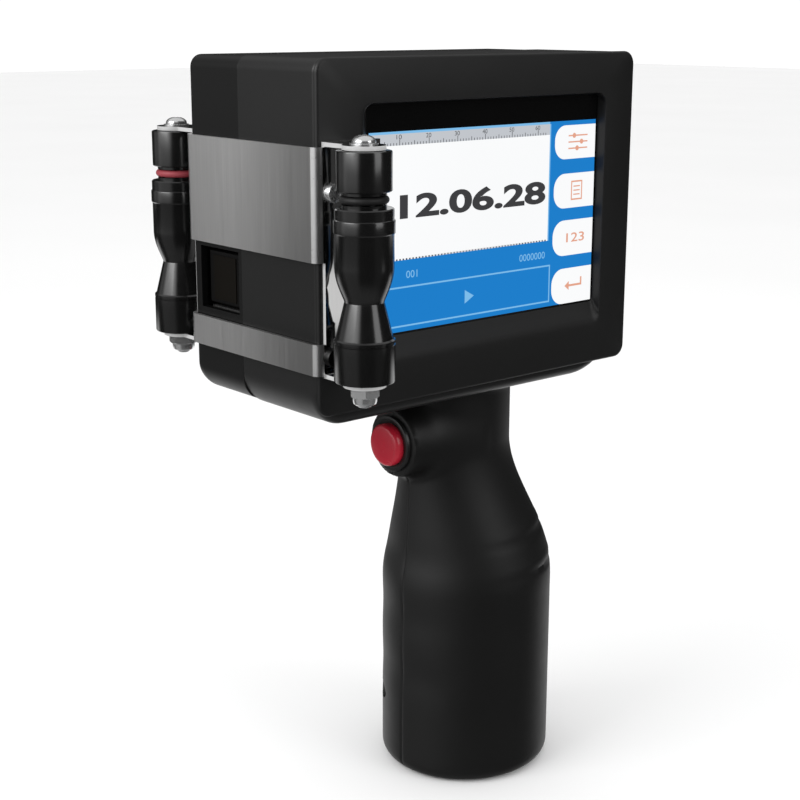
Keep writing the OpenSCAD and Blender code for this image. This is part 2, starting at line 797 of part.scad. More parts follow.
module grip_left() {
    color("#1f1f20") grip_half(-1);
}

module grip_right() {
    color("#1f1f20") grip_half(1);
}

module grip_screws() {
    color("#2a2b2d") for (p = grip_post_at) difference() {
        union() {
            rod_y(p[0], p[1], 1.3, -8, 9);
            rod_y(p[0], p[1], 2.6, 9, 10.8);
        }
        translate([p[0], 9.8, p[1]]) rotate([-90, 0, 0]) cylinder(r = 1.2, h = 3, $fn = 6);
    }
}

module neck_screws() {
    color("#c8ccd0") for (p = neck_screw_at) {
        seat = shell_bottom + wall + (p[1] > seam_y ? foot_drop : 0) + 0.02;
        rod_z(p[0], p[1], 1.4, neck_top - 8, seat);
        rod_z(p[0], p[1], 2.6, seat, seat + 1.8);
    }
}

module battery_cells() {
    color("#2f6f9f") for (x = [-cell_x, cell_x]) {
        rod_z(x, 0, cell_r, cell_z, cell_z + cell_len);
        rod_z(x, 0, 3, cell_z + cell_len, cell_z + cell_len + 1);
    }
}

module battery_holder() {
    top = cell_z + cell_len + 1.6;
    color("#26272a") union() {
        block([-20, 20, -11, -9.4, cell_z - 2.6, top + 1.6]);
        block([-20, 20, -11, 9, cell_z - 2.6, cell_z - 1]);
        block([-20, 20, -11, 9, top, top + 1.6]);
    }
}

module battery_contacts() {
    top = cell_z + cell_len;
    color("#c8ccd0") for (x = [-cell_x, cell_x]) {
        block([x - 5, x + 5, -5, 5, cell_z - 1, cell_z]);
        block([x - 4, x + 4, -5, 5, top + 1, top + 1.6]);
    }
}

module battery_lead() {
    color("#8c2a2a") for (x = [1, 3])
        rising_wire([x, -5, cell_z + cell_len + 3.2], [x - 4, -7, 148], 0.7);
}

// ---------- trigger ----------

module trigger_button() {
    color("#a51c2c") union() {
        translate([cap_face, 0, cap_z]) rotate([0, 90, 0]) rotate_extrude()
            polygon(concat([[0, 0]], [for (a = [0:15:90]) [cap_r - 1.6 + 1.6 * sin(a),
                1.6 - 1.6 * cos(a)]], [[cap_r, cap_back - cap_face], [0, cap_back - cap_face]]));
        // stub that the travel brings to the switch contact
        rod_x(0, cap_z, 2, cap_back - 0.5, barrel_floor - 1.2 - cap_travel);
    }
}

// Coil spring between the cap and the floor of the barrel
module trigger_spring() {
    turns = 4;
    ring = 16;
    sides = 6;
    x0 = cap_back + spring_wire + 0.1;
    x1 = barrel_floor - spring_wire - 0.1;
    last = turns * ring;
    points = [for (k = [0:last]) let (a = 360 * k / ring, x = x0 + (x1 - x0) * k / last)
        each [for (i = [0:sides - 1]) let (b = 360 * i / sides,
            r = spring_r + spring_wire * cos(b))
            [x + spring_wire * sin(b), r * cos(a), cap_z + r * sin(a)]]];
    quads = [for (k = [0:last - 1], i = [0:sides - 1]) let (j = (i + 1) % sides)
        each [[k * sides + i, k * sides + j, (k + 1) * sides + i],
              [k * sides + j, (k + 1) * sides + j, (k + 1) * sides + i]]];
    color("#c8ccd0") polyhedron(points, concat(quads,
        [[for (i = [sides - 1:-1:0]) i]], [[for (i = [0:sides - 1]) last * sides + i]]),
        convexity = 10);
}

module trigger_switch() {
    color("#1a1a1b") difference() {
        union() {
            rod_x(0, cap_z, barrel_r, collar_x, -14);
            for (y = [-4, 4]) block([-14, -10, y - 1, y + 1, cap_z - 0.4, cap_z + 0.4]);
        }
        rod_x(0, cap_z, cap_bore, collar_x - 1, barrel_floor);
        rod_x(0, cap_z, 2.4, barrel_floor - 1, barrel_floor + 3);
    }
}

module trigger_collar() {
    color("#161617") difference() {
        rod_x(0, cap_z, 9.25, collar_x - 0.3, boss_x);
        rod_x(0, cap_z, barrel_r, collar_x - 1, boss_x + 1);
    }
}

module trigger_nut() {
    color("#3a3b3e") difference() {
        translate([-18.4, 0, cap_z]) rotate([0, 90, 0]) cylinder(r = 10.4, h = 2.6, $fn = 6);
        rod_x(0, cap_z, barrel_r, -25, -10);
    }
}

module trigger_lead() {
    color("#303236") for (y = [-4, 4])
        rising_wire([-12, y, cap_z + 0.4], [-13, y / 4 - 8, 148], 0.5);
}

// ---------- rear fittings ----------

module switch_frame() {
    y = switch_y;
    z = switch_z;
    color("#151516") difference() {
        union() {
            block([shell_rear, shell_rear + 1.5, y - 5.2, y + 5.2, z - 8, z + 8]);
            block([28, shell_rear, y - 4.2, y + 4.2, z - 6.5, z + 6.5]);
        }
        block([31, 45, y - 3.2, y + 3.2, z - 5.6, z + 5.6]);
        rod_y(rocker_x, z, 1.2, y - 4, y + 4);
    }
}

module power_rocker() {
    color("#b02a2a") translate([rocker_x, switch_y, switch_z]) rotate([0, -rocker_tilt, 0])
        rotate([90, 0, 0]) union() {
            translate([0, 0, -3]) linear_extrude(6)
                polygon([[-2, -1.6], [-2, 1.6], [1.2, 4.7], [4.4, 4.5], [2.9, 0],
                         [4.4, -4.5], [1.2, -4.7]]);
            translate([0, 0, -3.9]) cylinder(r = 1.15, h = 7.8);
        }
}

module dc_jack() {
    color("#1a1a1b") difference() {
        union() {
            block([24, 36, board_y + board_t, jack_y + 4.2, jack_z - 4.5, jack_z + 4.5]);
            rod_x(jack_y, jack_z, 4.1, 35, shell_rear + 0.3);
        }
        difference() {
            rod_x(jack_y, jack_z, 2.8, shell_rear - 9, shell_rear + 1);
            rod_x(jack_y, jack_z, 1, shell_rear - 10, shell_rear - 1.5);
        }
    }
}

module usb_port() {
    y = board_y + board_t;
    color("#b9bcc0") difference() {
        block([25, shell_rear + 0.4, y, y + 5.7, usb_z - 6.55, usb_z + 6.55]);
        difference() {
            block([28, 45, y + 0.35, y + 5.35, usb_z - 6.2, usb_z + 6.2]);
            block([27, shell_rear - 1, y + 2.9, y + 4.7, usb_z - 5.6, usb_z + 5.6]);
        }
    }
}

main_shell();
cartridge_shell();
screen_bezel();
touch_glass();
lcd_panel();
lcd_bracket();
lcd_ribbon();
main_board();
board_components();
buzzer();
board_standoffs();
board_screws();
case_screws();
guide_plate();
plate_screws();
axle_bolts();
axle_washers();
axle_nuts();
encoder_roller();
encoder_ring();
encoder_bushes();
encoder_magnet();
encoder_sensor();
guide_roller();
guide_ring();
guide_bushes();
cartridge_carriage();
carriage_screws();
ink_cartridge();
nozzle_plate();
contact_board();
contact_pins();
contact_flex();
cartridge_clamp();
clamp_pin();
cartridge_door();
hinge_pins();
door_magnet();
catch_plate();
grip_left();
grip_right();
grip_screws();
neck_screws();
battery_cells();
battery_holder();
battery_contacts();
battery_lead();
trigger_button();
trigger_spring();
trigger_switch();
trigger_collar();
trigger_nut();
trigger_lead();
switch_frame();
power_rocker();
dc_jack();
usb_port();
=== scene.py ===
import math

import bmesh
import bpy
import numpy as np
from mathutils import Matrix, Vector


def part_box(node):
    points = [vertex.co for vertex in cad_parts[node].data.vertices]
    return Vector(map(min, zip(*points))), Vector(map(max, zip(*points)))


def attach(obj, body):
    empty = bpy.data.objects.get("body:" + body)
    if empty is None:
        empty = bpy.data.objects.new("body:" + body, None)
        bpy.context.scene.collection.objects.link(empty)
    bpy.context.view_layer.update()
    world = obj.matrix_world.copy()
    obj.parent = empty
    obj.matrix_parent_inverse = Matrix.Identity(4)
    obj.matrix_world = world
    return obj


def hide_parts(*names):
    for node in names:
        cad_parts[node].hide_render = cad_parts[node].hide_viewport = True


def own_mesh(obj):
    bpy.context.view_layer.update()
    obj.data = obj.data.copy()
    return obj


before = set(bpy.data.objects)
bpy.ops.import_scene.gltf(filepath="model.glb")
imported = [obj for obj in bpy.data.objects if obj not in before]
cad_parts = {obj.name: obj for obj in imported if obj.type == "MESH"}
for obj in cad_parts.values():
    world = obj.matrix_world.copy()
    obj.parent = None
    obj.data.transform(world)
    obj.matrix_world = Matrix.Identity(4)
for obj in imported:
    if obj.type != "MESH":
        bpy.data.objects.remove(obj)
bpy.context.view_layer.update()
mm = 0.001
print("frame loaded with", len(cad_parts), "nodes")


# shader maths: a socket that adds Math nodes when it is used in an expression
class Wire:
    def __init__(self, paint, socket):
        self.paint = paint
        self.socket = socket

    def maths(self, operation, first, second):
        return self.paint.maths(operation, first, second)

    def __add__(self, other):
        return self.maths("ADD", self, other)

    def __radd__(self, other):
        return self.maths("ADD", other, self)

    def __sub__(self, other):
        return self.maths("SUBTRACT", self, other)

    def __rsub__(self, other):
        return self.maths("SUBTRACT", other, self)

    def __mul__(self, other):
        return self.maths("MULTIPLY", self, other)

    def __rmul__(self, other):
        return self.maths("MULTIPLY", other, self)


# one node tree, of a material or of the world
class Paint:
    def __init__(self, holder):
        self.holder = holder
        holder.use_nodes = True
        self.tree = holder.node_tree
        self.tree.nodes.clear()

    # any node: its type, its settings, and the values or links of its sockets
    def node(self, kind, settings=None, sockets=None):
        made = self.tree.nodes.new(kind)
        for key, value in (settings or {}).items():
            if key == "stops":
                self.setStops(made.color_ramp, value)
            else:
                setattr(made, key, value)
        for key, value in (sockets or {}).items():
            target = made.inputs[key]
            if isinstance(value, Wire):
                self.tree.links.new(value.socket, target)
            else:
                target.default_value = value
        return [Wire(self, out) for out in made.outputs if out.enabled]

    def setStops(self, ramp, stops):
        while len(ramp.elements) < len(stops):
            ramp.elements.new(0.5)
        for element, (place, colour) in zip(ramp.elements, stops):
            element.position = place
            element.color = colour

    def maths(self, operation, *values):
        return self.node("ShaderNodeMath", {"operation": operation},
                         dict(enumerate(values)))[0]

    # 0 at one value and 1 at the other, eased between
    def ramp(self, value, zero, one):
        return self.node("ShaderNodeMapRange", {"interpolation_type": "SMOOTHSTEP"},
                         {"Value": value, "From Min": zero, "From Max": one})[0]

    def place(self):
        return self.node("ShaderNodeTexCoord")[3]

    # noise over the object's own coordinates, stretched by a scale for each axis
    def noise(self, scale, detail=3.0, roughness=0.55, stretch=(1, 1, 1)):
        spread = self.node("ShaderNodeMapping", {"vector_type": "POINT"},
                           {"Vector": self.place(), "Scale": stretch})[0]
        return self.node("ShaderNodeTexNoise", {"noise_dimensions": "3D"},
                         {"Vector": spread, "Scale": scale, "Detail": detail,
                          "Roughness": roughness})[0]

    def blendColour(self, factor, first, second):
        mixed = self.node("ShaderNodeMix", {"data_type": "RGBA"})
        mixNode = mixed[0].socket.node
        for index, value in ((0, factor), (6, first), (7, second)):
            if isinstance(value, Wire):
                self.tree.links.new(value.socket, mixNode.inputs[index])
            else:
                mixNode.inputs[index].default_value = value
        return Wire(self, mixNode.outputs[2])

    def bump(self, height, strength, distance):
        return self.node("ShaderNodeBump", None,
                         {"Height": height, "Strength": strength, "Distance": distance})[0]

    def finish(self, sockets):
        surface = self.node("ShaderNodeBsdfPrincipled", None, sockets)[0]
        self.node("ShaderNodeOutputMaterial", None, {"Surface": surface})
        return self.holder


def newPaint(name):
    return Paint(bpy.data.materials.new(name))


def grey(level, warm=0.0):
    return (level * (1 + warm), level, level * (1 - warm), 1)


# moulded plastic: a spark-eroded grain, faint flow marks and handling shine
def mouldedPlastic(name, settings):
    paint = newPaint(name)
    grain = paint.noise(settings["grain"], 2.0, 0.6)
    flow = paint.noise(settings["flow"], 3.0, 0.5)
    dust = paint.noise(settings["dust"], 4.0, 0.65)
    colour = paint.blendColour(flow, settings["dark"], settings["light"])
    rough = settings["roughness"] + (flow - 0.5) * 0.10 + (dust - 0.5) * 0.08
    height = grain * 0.7 + dust * 0.3
    return paint.finish({
        "Base Color": colour, "Roughness": rough,
        "Specular IOR Level": settings["specular"],
        "Normal": paint.bump(height, settings["bumpStrength"], settings["bumpDepth"])})


# sheet steel with brush lines along Z, and painted shade across Y
def brushedSteel(name, settings):
    paint = newPaint(name)
    lines = paint.noise(1.0, 4.0, 0.7, settings["stretch"])
    cloud = paint.noise(30.0, 2.0, 0.5)
    mix = lines * 0.75 + cloud * 0.25
    colour = paint.blendColour(mix, settings["dark"], settings["light"])
    # painted shade: the colour darkens along Y towards the screen-side roller, which shades the sheet
    # there
    across = paint.node("ShaderNodeSeparateXYZ", None, {"Vector": paint.place()})[1]
    paintedShade = paint.ramp(across, settings["paintedShadeFrom"], settings["paintedShadeTo"])
    colour = paint.blendColour(paintedShade * settings["paintedShade"], colour, grey(0.0))
    rough = settings["roughness"] + (lines - 0.5) * settings["roughSpread"]
    return paint.finish({
        "Base Color": colour, "Metallic": 1.0, "Roughness": rough,
        "Normal": paint.bump(lines, settings["bumpStrength"], 0.00002)})


# bright plated metal with faint scuffs
def platedMetal(name, settings):
    paint = newPaint(name)
    scuff = paint.noise(700.0, 5.0, 0.7)
    cloud = paint.noise(120.0, 2.0, 0.5)
    colour = paint.blendColour(cloud, settings["dark"], settings["light"])
    rough = settings["roughness"] + (scuff - 0.5) * settings["roughSpread"]
    return paint.finish({
        "Base Color": colour, "Metallic": settings["metallic"], "Roughness": rough,
        "Normal": paint.bump(scuff, 0.12, 0.00002)})


# turned and anodised: fine lathe rings along the axle
def anodisedTurning(name, settings):
    paint = newPaint(name)
    rings = paint.noise(1.0, 3.0, 0.6, settings["rings"])
    smear = paint.noise(90.0, 3.0, 0.6)
    colour = paint.blendColour(smear, settings["dark"], settings["light"])
    rough = settings["roughness"] + (smear - 0.5) * 0.10 + (rings - 0.5) * 0.06
    return paint.finish({
        "Base Color": colour, "Metallic": settings["metallic"], "Roughness": rough,
        "Specular IOR Level": settings["specular"], "Coat Weight": settings["coat"],
        "Coat Roughness": 0.12,
        "Normal": paint.bump(rings, 0.10, 0.00001)})


# glowing surface of the display
def litColour(name, colour, strength):
    paint = newPaint(name)
    backlight = paint.noise(14.0, 1.0, 0.5)
    deep = tuple(c * 0.94 for c in colour[:3]) + (1,)
    shade = paint.blendColour(backlight, deep, colour)
    return paint.finish({
        "Base Color": (0.002, 0.002, 0.002, 1), "Roughness": 0.3, "Specular IOR Level": 0.03,
        "Emission Color": shade, "Emission Strength": strength})


def linear(red, green, blue):
    def channel(value):
        part = value / 255
        return part / 12.92 if part <= 0.04045 else ((part + 0.055) / 1.055) ** 2.4
    return (channel(red), channel(green), channel(blue), 1)


plasticLook = {"grain": 2600.0, "flow": 22.0, "dust": 260.0, "dark": grey(0.0045),
               "light": grey(0.0068), "roughness": 0.40, "specular": 0.40,
               "bumpStrength": 0.10, "bumpDepth": 0.00004}
metalLook = {"metallic": 1.0, "roughSpread": 0.18}
shellBlack = mouldedPlastic("shell_black", plasticLook)
sideBlack = mouldedPlastic("side_black", dict(plasticLook, dark=grey(0.0025), light=grey(0.004),
                                              specular=0.24))
bezelBlack = mouldedPlastic("bezel_black", dict(plasticLook, light=grey(0.007), roughness=0.44,
                                                specular=0.38))
gripBlack = mouldedPlastic("grip_black", dict(plasticLook, dark=grey(0.0035), light=grey(0.0055),
                                              roughness=0.5, specular=0.36,
                                              bumpStrength=0.14, grain=1900.0))
innerBlack = mouldedPlastic("inner_black", dict(plasticLook, dark=grey(0.002), light=grey(0.003),
                                                roughness=0.6, specular=0.1))
innerGrey = mouldedPlastic("inner_grey", dict(plasticLook, dark=grey(0.03), light=grey(0.045),
                                              roughness=0.55))
partBlack = mouldedPlastic("part_black", dict(plasticLook, roughness=0.36, specular=0.5))
# the plate's colour carries painted shade: darker from Y 16 mm to Y -34 mm, by up to 0.62
plateSteel = brushedSteel("plate_steel", {
    "stretch": (2600, 2600, 26), "dark": grey(0.70), "light": grey(0.92, 0.01),
    "roughness": 0.36, "roughSpread": 0.22, "bumpStrength": 0.25,
    "paintedShadeFrom": 0.016, "paintedShadeTo": -0.034, "paintedShade": 0.62})
flangeSteel = brushedSteel("flange_steel", {
    "stretch": (1200, 1200, 26), "dark": grey(0.46), "light": grey(0.56, 0.01),
    "roughness": 0.05, "roughSpread": 0.03, "bumpStrength": 0.02,
    "paintedShadeFrom": 0.0, "paintedShadeTo": -0.1, "paintedShade": 0.0})
bendSteel = platedMetal("bend_steel", dict(
    metalLook, dark=grey(0.66), light=grey(0.8), roughness=0.3))
shearedEdge = platedMetal("sheared_edge", dict(
    metalLook, dark=grey(0.42), light=grey(0.58), roughness=0.5, metallic=0.1))
plainSteel = platedMetal("plain_steel", dict(
    metalLook, dark=grey(0.42), light=grey(0.55), roughness=0.32))
brightZinc = platedMetal("bright_zinc", dict(
    metalLook, dark=grey(0.62), light=grey(0.78, -0.01), roughness=0.16, roughSpread=0.12,
    metallic=0.88))
blackOxide = platedMetal("black_oxide", dict(
    metalLook, dark=grey(0.02), light=grey(0.035), roughness=0.35))
rollerBlack = anodisedTurning("roller_black", {
    "rings": (30, 30, 5200), "dark": grey(0.003), "light": grey(0.005), "metallic": 0.0,
    "roughness": 0.20, "specular": 0.55, "coat": 0.2})
bronze = platedMetal("bronze", dict(
    metalLook, dark=(0.35, 0.2, 0.08, 1), light=(0.5, 0.31, 0.13, 1), roughness=0.4))
nozzleFilm = mouldedPlastic("nozzle_film", dict(
    plasticLook, dark=(0.003, 0.0023, 0.0015, 1), light=(0.005, 0.004, 0.0026, 1), roughness=0.5,
    specular=0.08))
goldPlate = platedMetal("gold_plate", dict(
    metalLook, dark=(0.2, 0.13, 0.05, 1), light=(0.34, 0.23, 0.09, 1), roughness=0.35))
ferrite = platedMetal("ferrite", dict(
    metalLook, dark=grey(0.05), light=grey(0.08), roughness=0.6))
redRubber = mouldedPlastic("red_rubber", dict(
    plasticLook, dark=linear(128, 42, 52), light=linear(160, 66, 74), roughness=0.5,
    specular=0.4, grain=3500.0))
blackRubber = mouldedPlastic("black_rubber", dict(plasticLook, roughness=0.6, grain=3500.0))
redCap = mouldedPlastic("red_cap", dict(
    plasticLook, dark=linear(150, 22, 38), light=linear(166, 28, 46), roughness=0.27,
    specular=0.5, bumpStrength=0.03))
boardGreen = mouldedPlastic("board_green", dict(
    plasticLook, dark=(0.01, 0.08, 0.03, 1), light=(0.015, 0.12, 0.05, 1), roughness=0.4))
amberFilm = mouldedPlastic("amber_film", dict(
    plasticLook, dark=(0.3, 0.13, 0.02, 1), light=(0.4, 0.18, 0.03, 1), roughness=0.3))
cellSleeve = mouldedPlastic("cell_sleeve", dict(
    plasticLook, dark=(0.02, 0.09, 0.2, 1), light=(0.03, 0.12, 0.26, 1), roughness=0.3))
wireRed = mouldedPlastic("wire_red", dict(
    plasticLook, dark=(0.2, 0.012, 0.012, 1), light=(0.28, 0.02, 0.02, 1), roughness=0.45))
glassBlack = mouldedPlastic("glass_black", dict(
    plasticLook, dark=grey(0.002), light=grey(0.0028), roughness=0.12, specular=0.10,
    bumpStrength=0.01, grain=400.0))
screenBlue = litColour("screen_blue", linear(27, 127, 205), 1.0)
screenPale = litColour("screen_pale", linear(126, 190, 236), 1.0)
screenWhite = litColour("screen_white", linear(253, 254, 255), 1.0)
screenGrey = litColour("screen_grey", linear(196, 200, 206), 1.0)
screenInk = litColour("screen_ink", linear(62, 62, 64), 1.0)
screenOrange = litColour("screen_orange", linear(231, 166, 140), 1.0)
print("materials made")


# mesh helpers, all in millimetres of the row frame
def newPiece(name, verts, faces, material):
    mesh = bpy.data.meshes.new(name)
    mesh.from_pydata([tuple(c * mm for c in v) for v in verts], [], faces)
    mesh.validate()
    piece = bpy.data.objects.new(name, mesh)
    bpy.context.scene.collection.objects.link(piece)
    for entry in material if isinstance(material, (list, tuple)) else [material]:
        mesh.materials.append(entry)
    fixNormals(piece)
    return piece


def fixNormals(piece):
    work = bmesh.new()
    work.from_mesh(piece.data)
    bmesh.ops.recalc_face_normals(work, faces=work.faces)
    work.to_mesh(piece.data)
    work.free()


# skin through rings of equally many points; closed joins the last ring to the first
def skin(name, rings, material, closed=False):
    count = len(rings[0])
    verts = [p for ring in rings for p in ring]
    faces = []
    last = len(rings) if closed else len(rings) - 1
    for k in range(last):
        near, far = k * count, ((k + 1) % len(rings)) * count
        for i in range(count):
            j = (i + 1) % count
            faces.append((near + i, near + j, far + j, far + i))
    if not closed:
        faces.append(tuple(range(count)))
        faces.append(tuple(range((len(rings) - 1) * count, len(rings) * count)))
    return newPiece(name, verts, faces, material)


def arcPoints(cx, cz, radius, start, end, steps):
    turn = [math.radians(start + (end - start) * i / steps) for i in range(steps + 1)]
    return [(cx + radius * math.cos(a), cz + radius * math.sin(a)) for a in turn]


# rounded rectangle; radii for top rear, top front, bottom front, bottom rear
def roundedOutline(x0, x1, z0, z1, radii, steps=10):
    return (arcPoints(x1 - radii[0], z1 - radii[0], radii[0], 0, 90, steps)
            + arcPoints(x0 + radii[1], z1 - radii[1], radii[1], 90, 180, steps)
            + arcPoints(x0 + radii[2], z0 + radii[2], radii[2], 180, 270, steps)
            + arcPoints(x1 - radii[3], z0 + radii[3], radii[3], 270, 360, steps))


def atY(y, outline):
    return [(x, y, z) for x, z in outline]


def slabY(name, outline, y0, y1, material):
    return skin(name, [atY(y0, outline), atY(y1, outline)], material)


def brick(name, low, high, material=None):
    outline = [(low[0], low[2]), (high[0], low[2]), (high[0], high[2]), (low[0], high[2])]
    return slabY(name, outline, low[1], high[1], material or innerBlack)


# solid of revolution from (radius, height) points about an axis through a place
def turned(name, profile, place, axis, material, segments=72, closed=False):
    rings = []
    for radius, height in profile:
        ring = []
        for i in range(segments):
            a = 2 * math.pi * i / segments
            u, v = max(radius, 0.002) * math.cos(a), max(radius, 0.002) * math.sin(a)
            if axis == "z":
                ring.append((place[0] + u, place[1] + v, place[2] + height))
            elif axis == "x":
                ring.append((place[0] + height, place[1] + u, place[2] + v))
            else:
                ring.append((place[0] + u, place[1] + height, place[2] + v))
        rings.append(ring)
    return skin(name, rings, material, closed)


def rod(name, place, radius, length, axis, material=None, segments=48):
    return turned(name, [(radius, 0), (radius, length)], place, axis,
                  material or innerBlack, segments)


def applyModifiers(piece):
    graph = bpy.context.evaluated_depsgraph_get()
    mesh = bpy.data.meshes.new_from_object(piece.evaluated_get(graph))
    old = piece.data
    piece.modifiers.clear()
    piece.data = mesh
    bpy.data.meshes.remove(old)


def combine(piece, others, operation):
    for other in others:
        step = piece.modifiers.new("cut", "BOOLEAN")
        step.operation = operation
        step.solver = "EXACT"
        step.object = other
    bpy.context.view_layer.update()
    applyModifiers(piece)
    for other in others:
        mesh = other.data
        bpy.data.objects.remove(other)
        bpy.data.meshes.remove(mesh)


def carve(piece, cutters):
    combine(piece, cutters, "DIFFERENCE")


def weld(piece, others):
    combine(piece, others, "UNION")


# puts several pieces into one without cutting them
def gather(piece, others):
    work = bmesh.new()
    work.from_mesh(piece.data)
    for other in others:
        work.from_mesh(other.data)
        mesh = other.data
        bpy.data.objects.remove(other)
        bpy.data.meshes.remove(mesh)
    work.to_mesh(piece.data)
    work.free()
    return piece


# smooth shading, and a fine bevel on edges sharper than the angle
def dress(piece, bevel=0.0, angle=32, steps=2):
    piece.data.shade_smooth()
    piece.data.set_sharp_from_angle(angle=math.radians(angle))
    if bevel:
        edge = piece.modifiers.new("bevel", "BEVEL")
        edge.width = bevel * mm
        edge.segments = steps
        edge.limit_method = "ANGLE"
        edge.angle_limit = math.radians(angle)
        edge.harden_normals = True
        edge.use_clamp_overlap = True
    return piece


def settle(piece, body, slot, *nodes):
    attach(piece, body)
    if nodes:
        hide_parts(*nodes)


def span(node):
    low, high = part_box(node)
    return [c / mm for c in low], [c / mm for c in high]


def edgeInset(radius, depth):
    return 0 if depth >= radius else radius - math.sqrt(radius ** 2 - (radius - depth) ** 2)


# places shared by several pieces, read from the frame
bezelLow, bezelHigh = span("screen_bezel")
mainLow, mainHigh = span("main_shell")
sideLow, sideHigh = span("cartridge_shell")
glassLow, glassHigh = span("touch_glass")
plateLow, plateHigh = span("guide_plate")
doorLow, doorHigh = span("cartridge_door")
headFront, headRear = mainLow[0], mainHigh[0]
headTop, headFoot = mainHigh[2], mainLow[2]
seamY = mainHigh[1]
sideY = -bezelLow[1]
wall = 2.2
ringSteps = 12


# section of the head, drawn in from the sides and the foot
def headOutline(side=0.0, foot=0.0, steps=12, corner=11.0):
    top = max(4 - side, 1)
    depth = max(side, foot) / 2
    return roundedOutline(headFront + side, headRear - side, headFoot + foot, headTop - side,
                          [top, top, corner - depth, 20 - depth], steps)


# mouth of the main shell, which the bezel's lip enters
plugOutline = roundedOutline(headFront + wall, headRear - wall, bezelLow[2] + 1, headTop - wall,
                             [2, 2, 8, 16], 6)


# main shell: the middle of the head, open to the bezel and to the cartridge shell
mainShell = {"rimEdge": 1.0, "footEdge": 3.6, "lip": 3.6, "jack": (-7.6, 4.25),
             "leadHole": (-3, -3.5, 5), "bossRadius": 3.2, "bossBore": 1.55, "bossStart": -8,
             "bossAt": [(-80, 234.6), (31.2, 234.6), (-76.5, 147.4), (21, 148.6)]}


def makeMainShell():
    s = mainShell
    start = mainLow[1]
    rings = [atY(seamY, headOutline()), atY(seamY - 0.25, headOutline())]
    for k in range(ringSteps, -1, -1):
        d = s["footEdge"] * (k / ringSteps) ** 1.5
        rings.append(atY(start + d, headOutline(edgeInset(s["rimEdge"], d),
                                                edgeInset(s["footEdge"], d))))
    shell = skin("main_shell_body", rings, shellBlack)
    usb = span("usb_port")
    jackLow, jackHigh = span("dc_jack")
    switch = span("switch_frame")
    jackY, jackHole = s["jack"]
    jackZ = (jackLow[2] + jackHigh[2]) / 2
    leadX, leadY, leadRadius = s["leadHole"]
    # holes through the rear wall and through the foot, cut well past both faces
    near, far = headRear - 12, headRear + 3
    carve(shell, [
        slabY("c", headOutline(wall, wall, 8), start + s["lip"], seamY + 1, innerBlack),
        slabY("c", plugOutline, start - 1, start + s["lip"] + 1, innerBlack),
        brick("c", (near, usb[0][1] - 0.3, usb[0][2] - 0.3), (far, usb[1][1] + 0.3, usb[1][2] + 0.3)),
        rod("c", (near, jackY, jackZ), jackHole, far - near, "x"),
        brick("c", (near, switch[0][1] + 0.9, switch[0][2] + 1.4),
              (far, switch[1][1] - 0.9, switch[1][2] - 1.4)),
        rod("c", (leadX, leadY, headFoot - 12), leadRadius, 15, "z")])
    r, bore, first = s["bossRadius"], s["bossBore"], s["bossStart"]
    gather(shell, [turned("b", [(r, first), (r, seamY), (bore, seamY), (bore, first)],
                          (x, 0, z), "y", shellBlack, 32, closed=True) for x, z in s["bossAt"]])
    settle(dress(shell, 0.18), "housing", "shell", "main_shell")


# cartridge shell: the far third of the head, with the door opening and the nozzle window
sideShell = {"edge": 1.0, "footEdge": 4.0, "drop": 0.2, "footDrop": 1.5, "corner": 8.0,
             "pad": (-6.0, 22.4, 17.3), "window": (7.8, 27.8, 166.5, 185.5),
             "doorGap": 0.4, "doorRear": 30.0, "pivot": (33.5, 31.6), "knuckle": 2.3,
             "screwSeat": (2.9, 3.4),
             "doorKnuckles": [(162, 172), (210, 220)], "shellKnuckles": [(172.4, 182), (200, 209.6)]}


# hinge barrel about the door's pivot, with eased ends
def makeKnuckle(low, high, bore):
    r = sideShell["knuckle"]
    barrel = [(bore, low), (r - 0.25, low), (r, low + 0.25), (r, high - 0.25),
              (r - 0.25, high), (bore, high)]
    return turned("k", barrel, (*sideShell["pivot"], 0), "z", sideBlack, 32, closed=True)


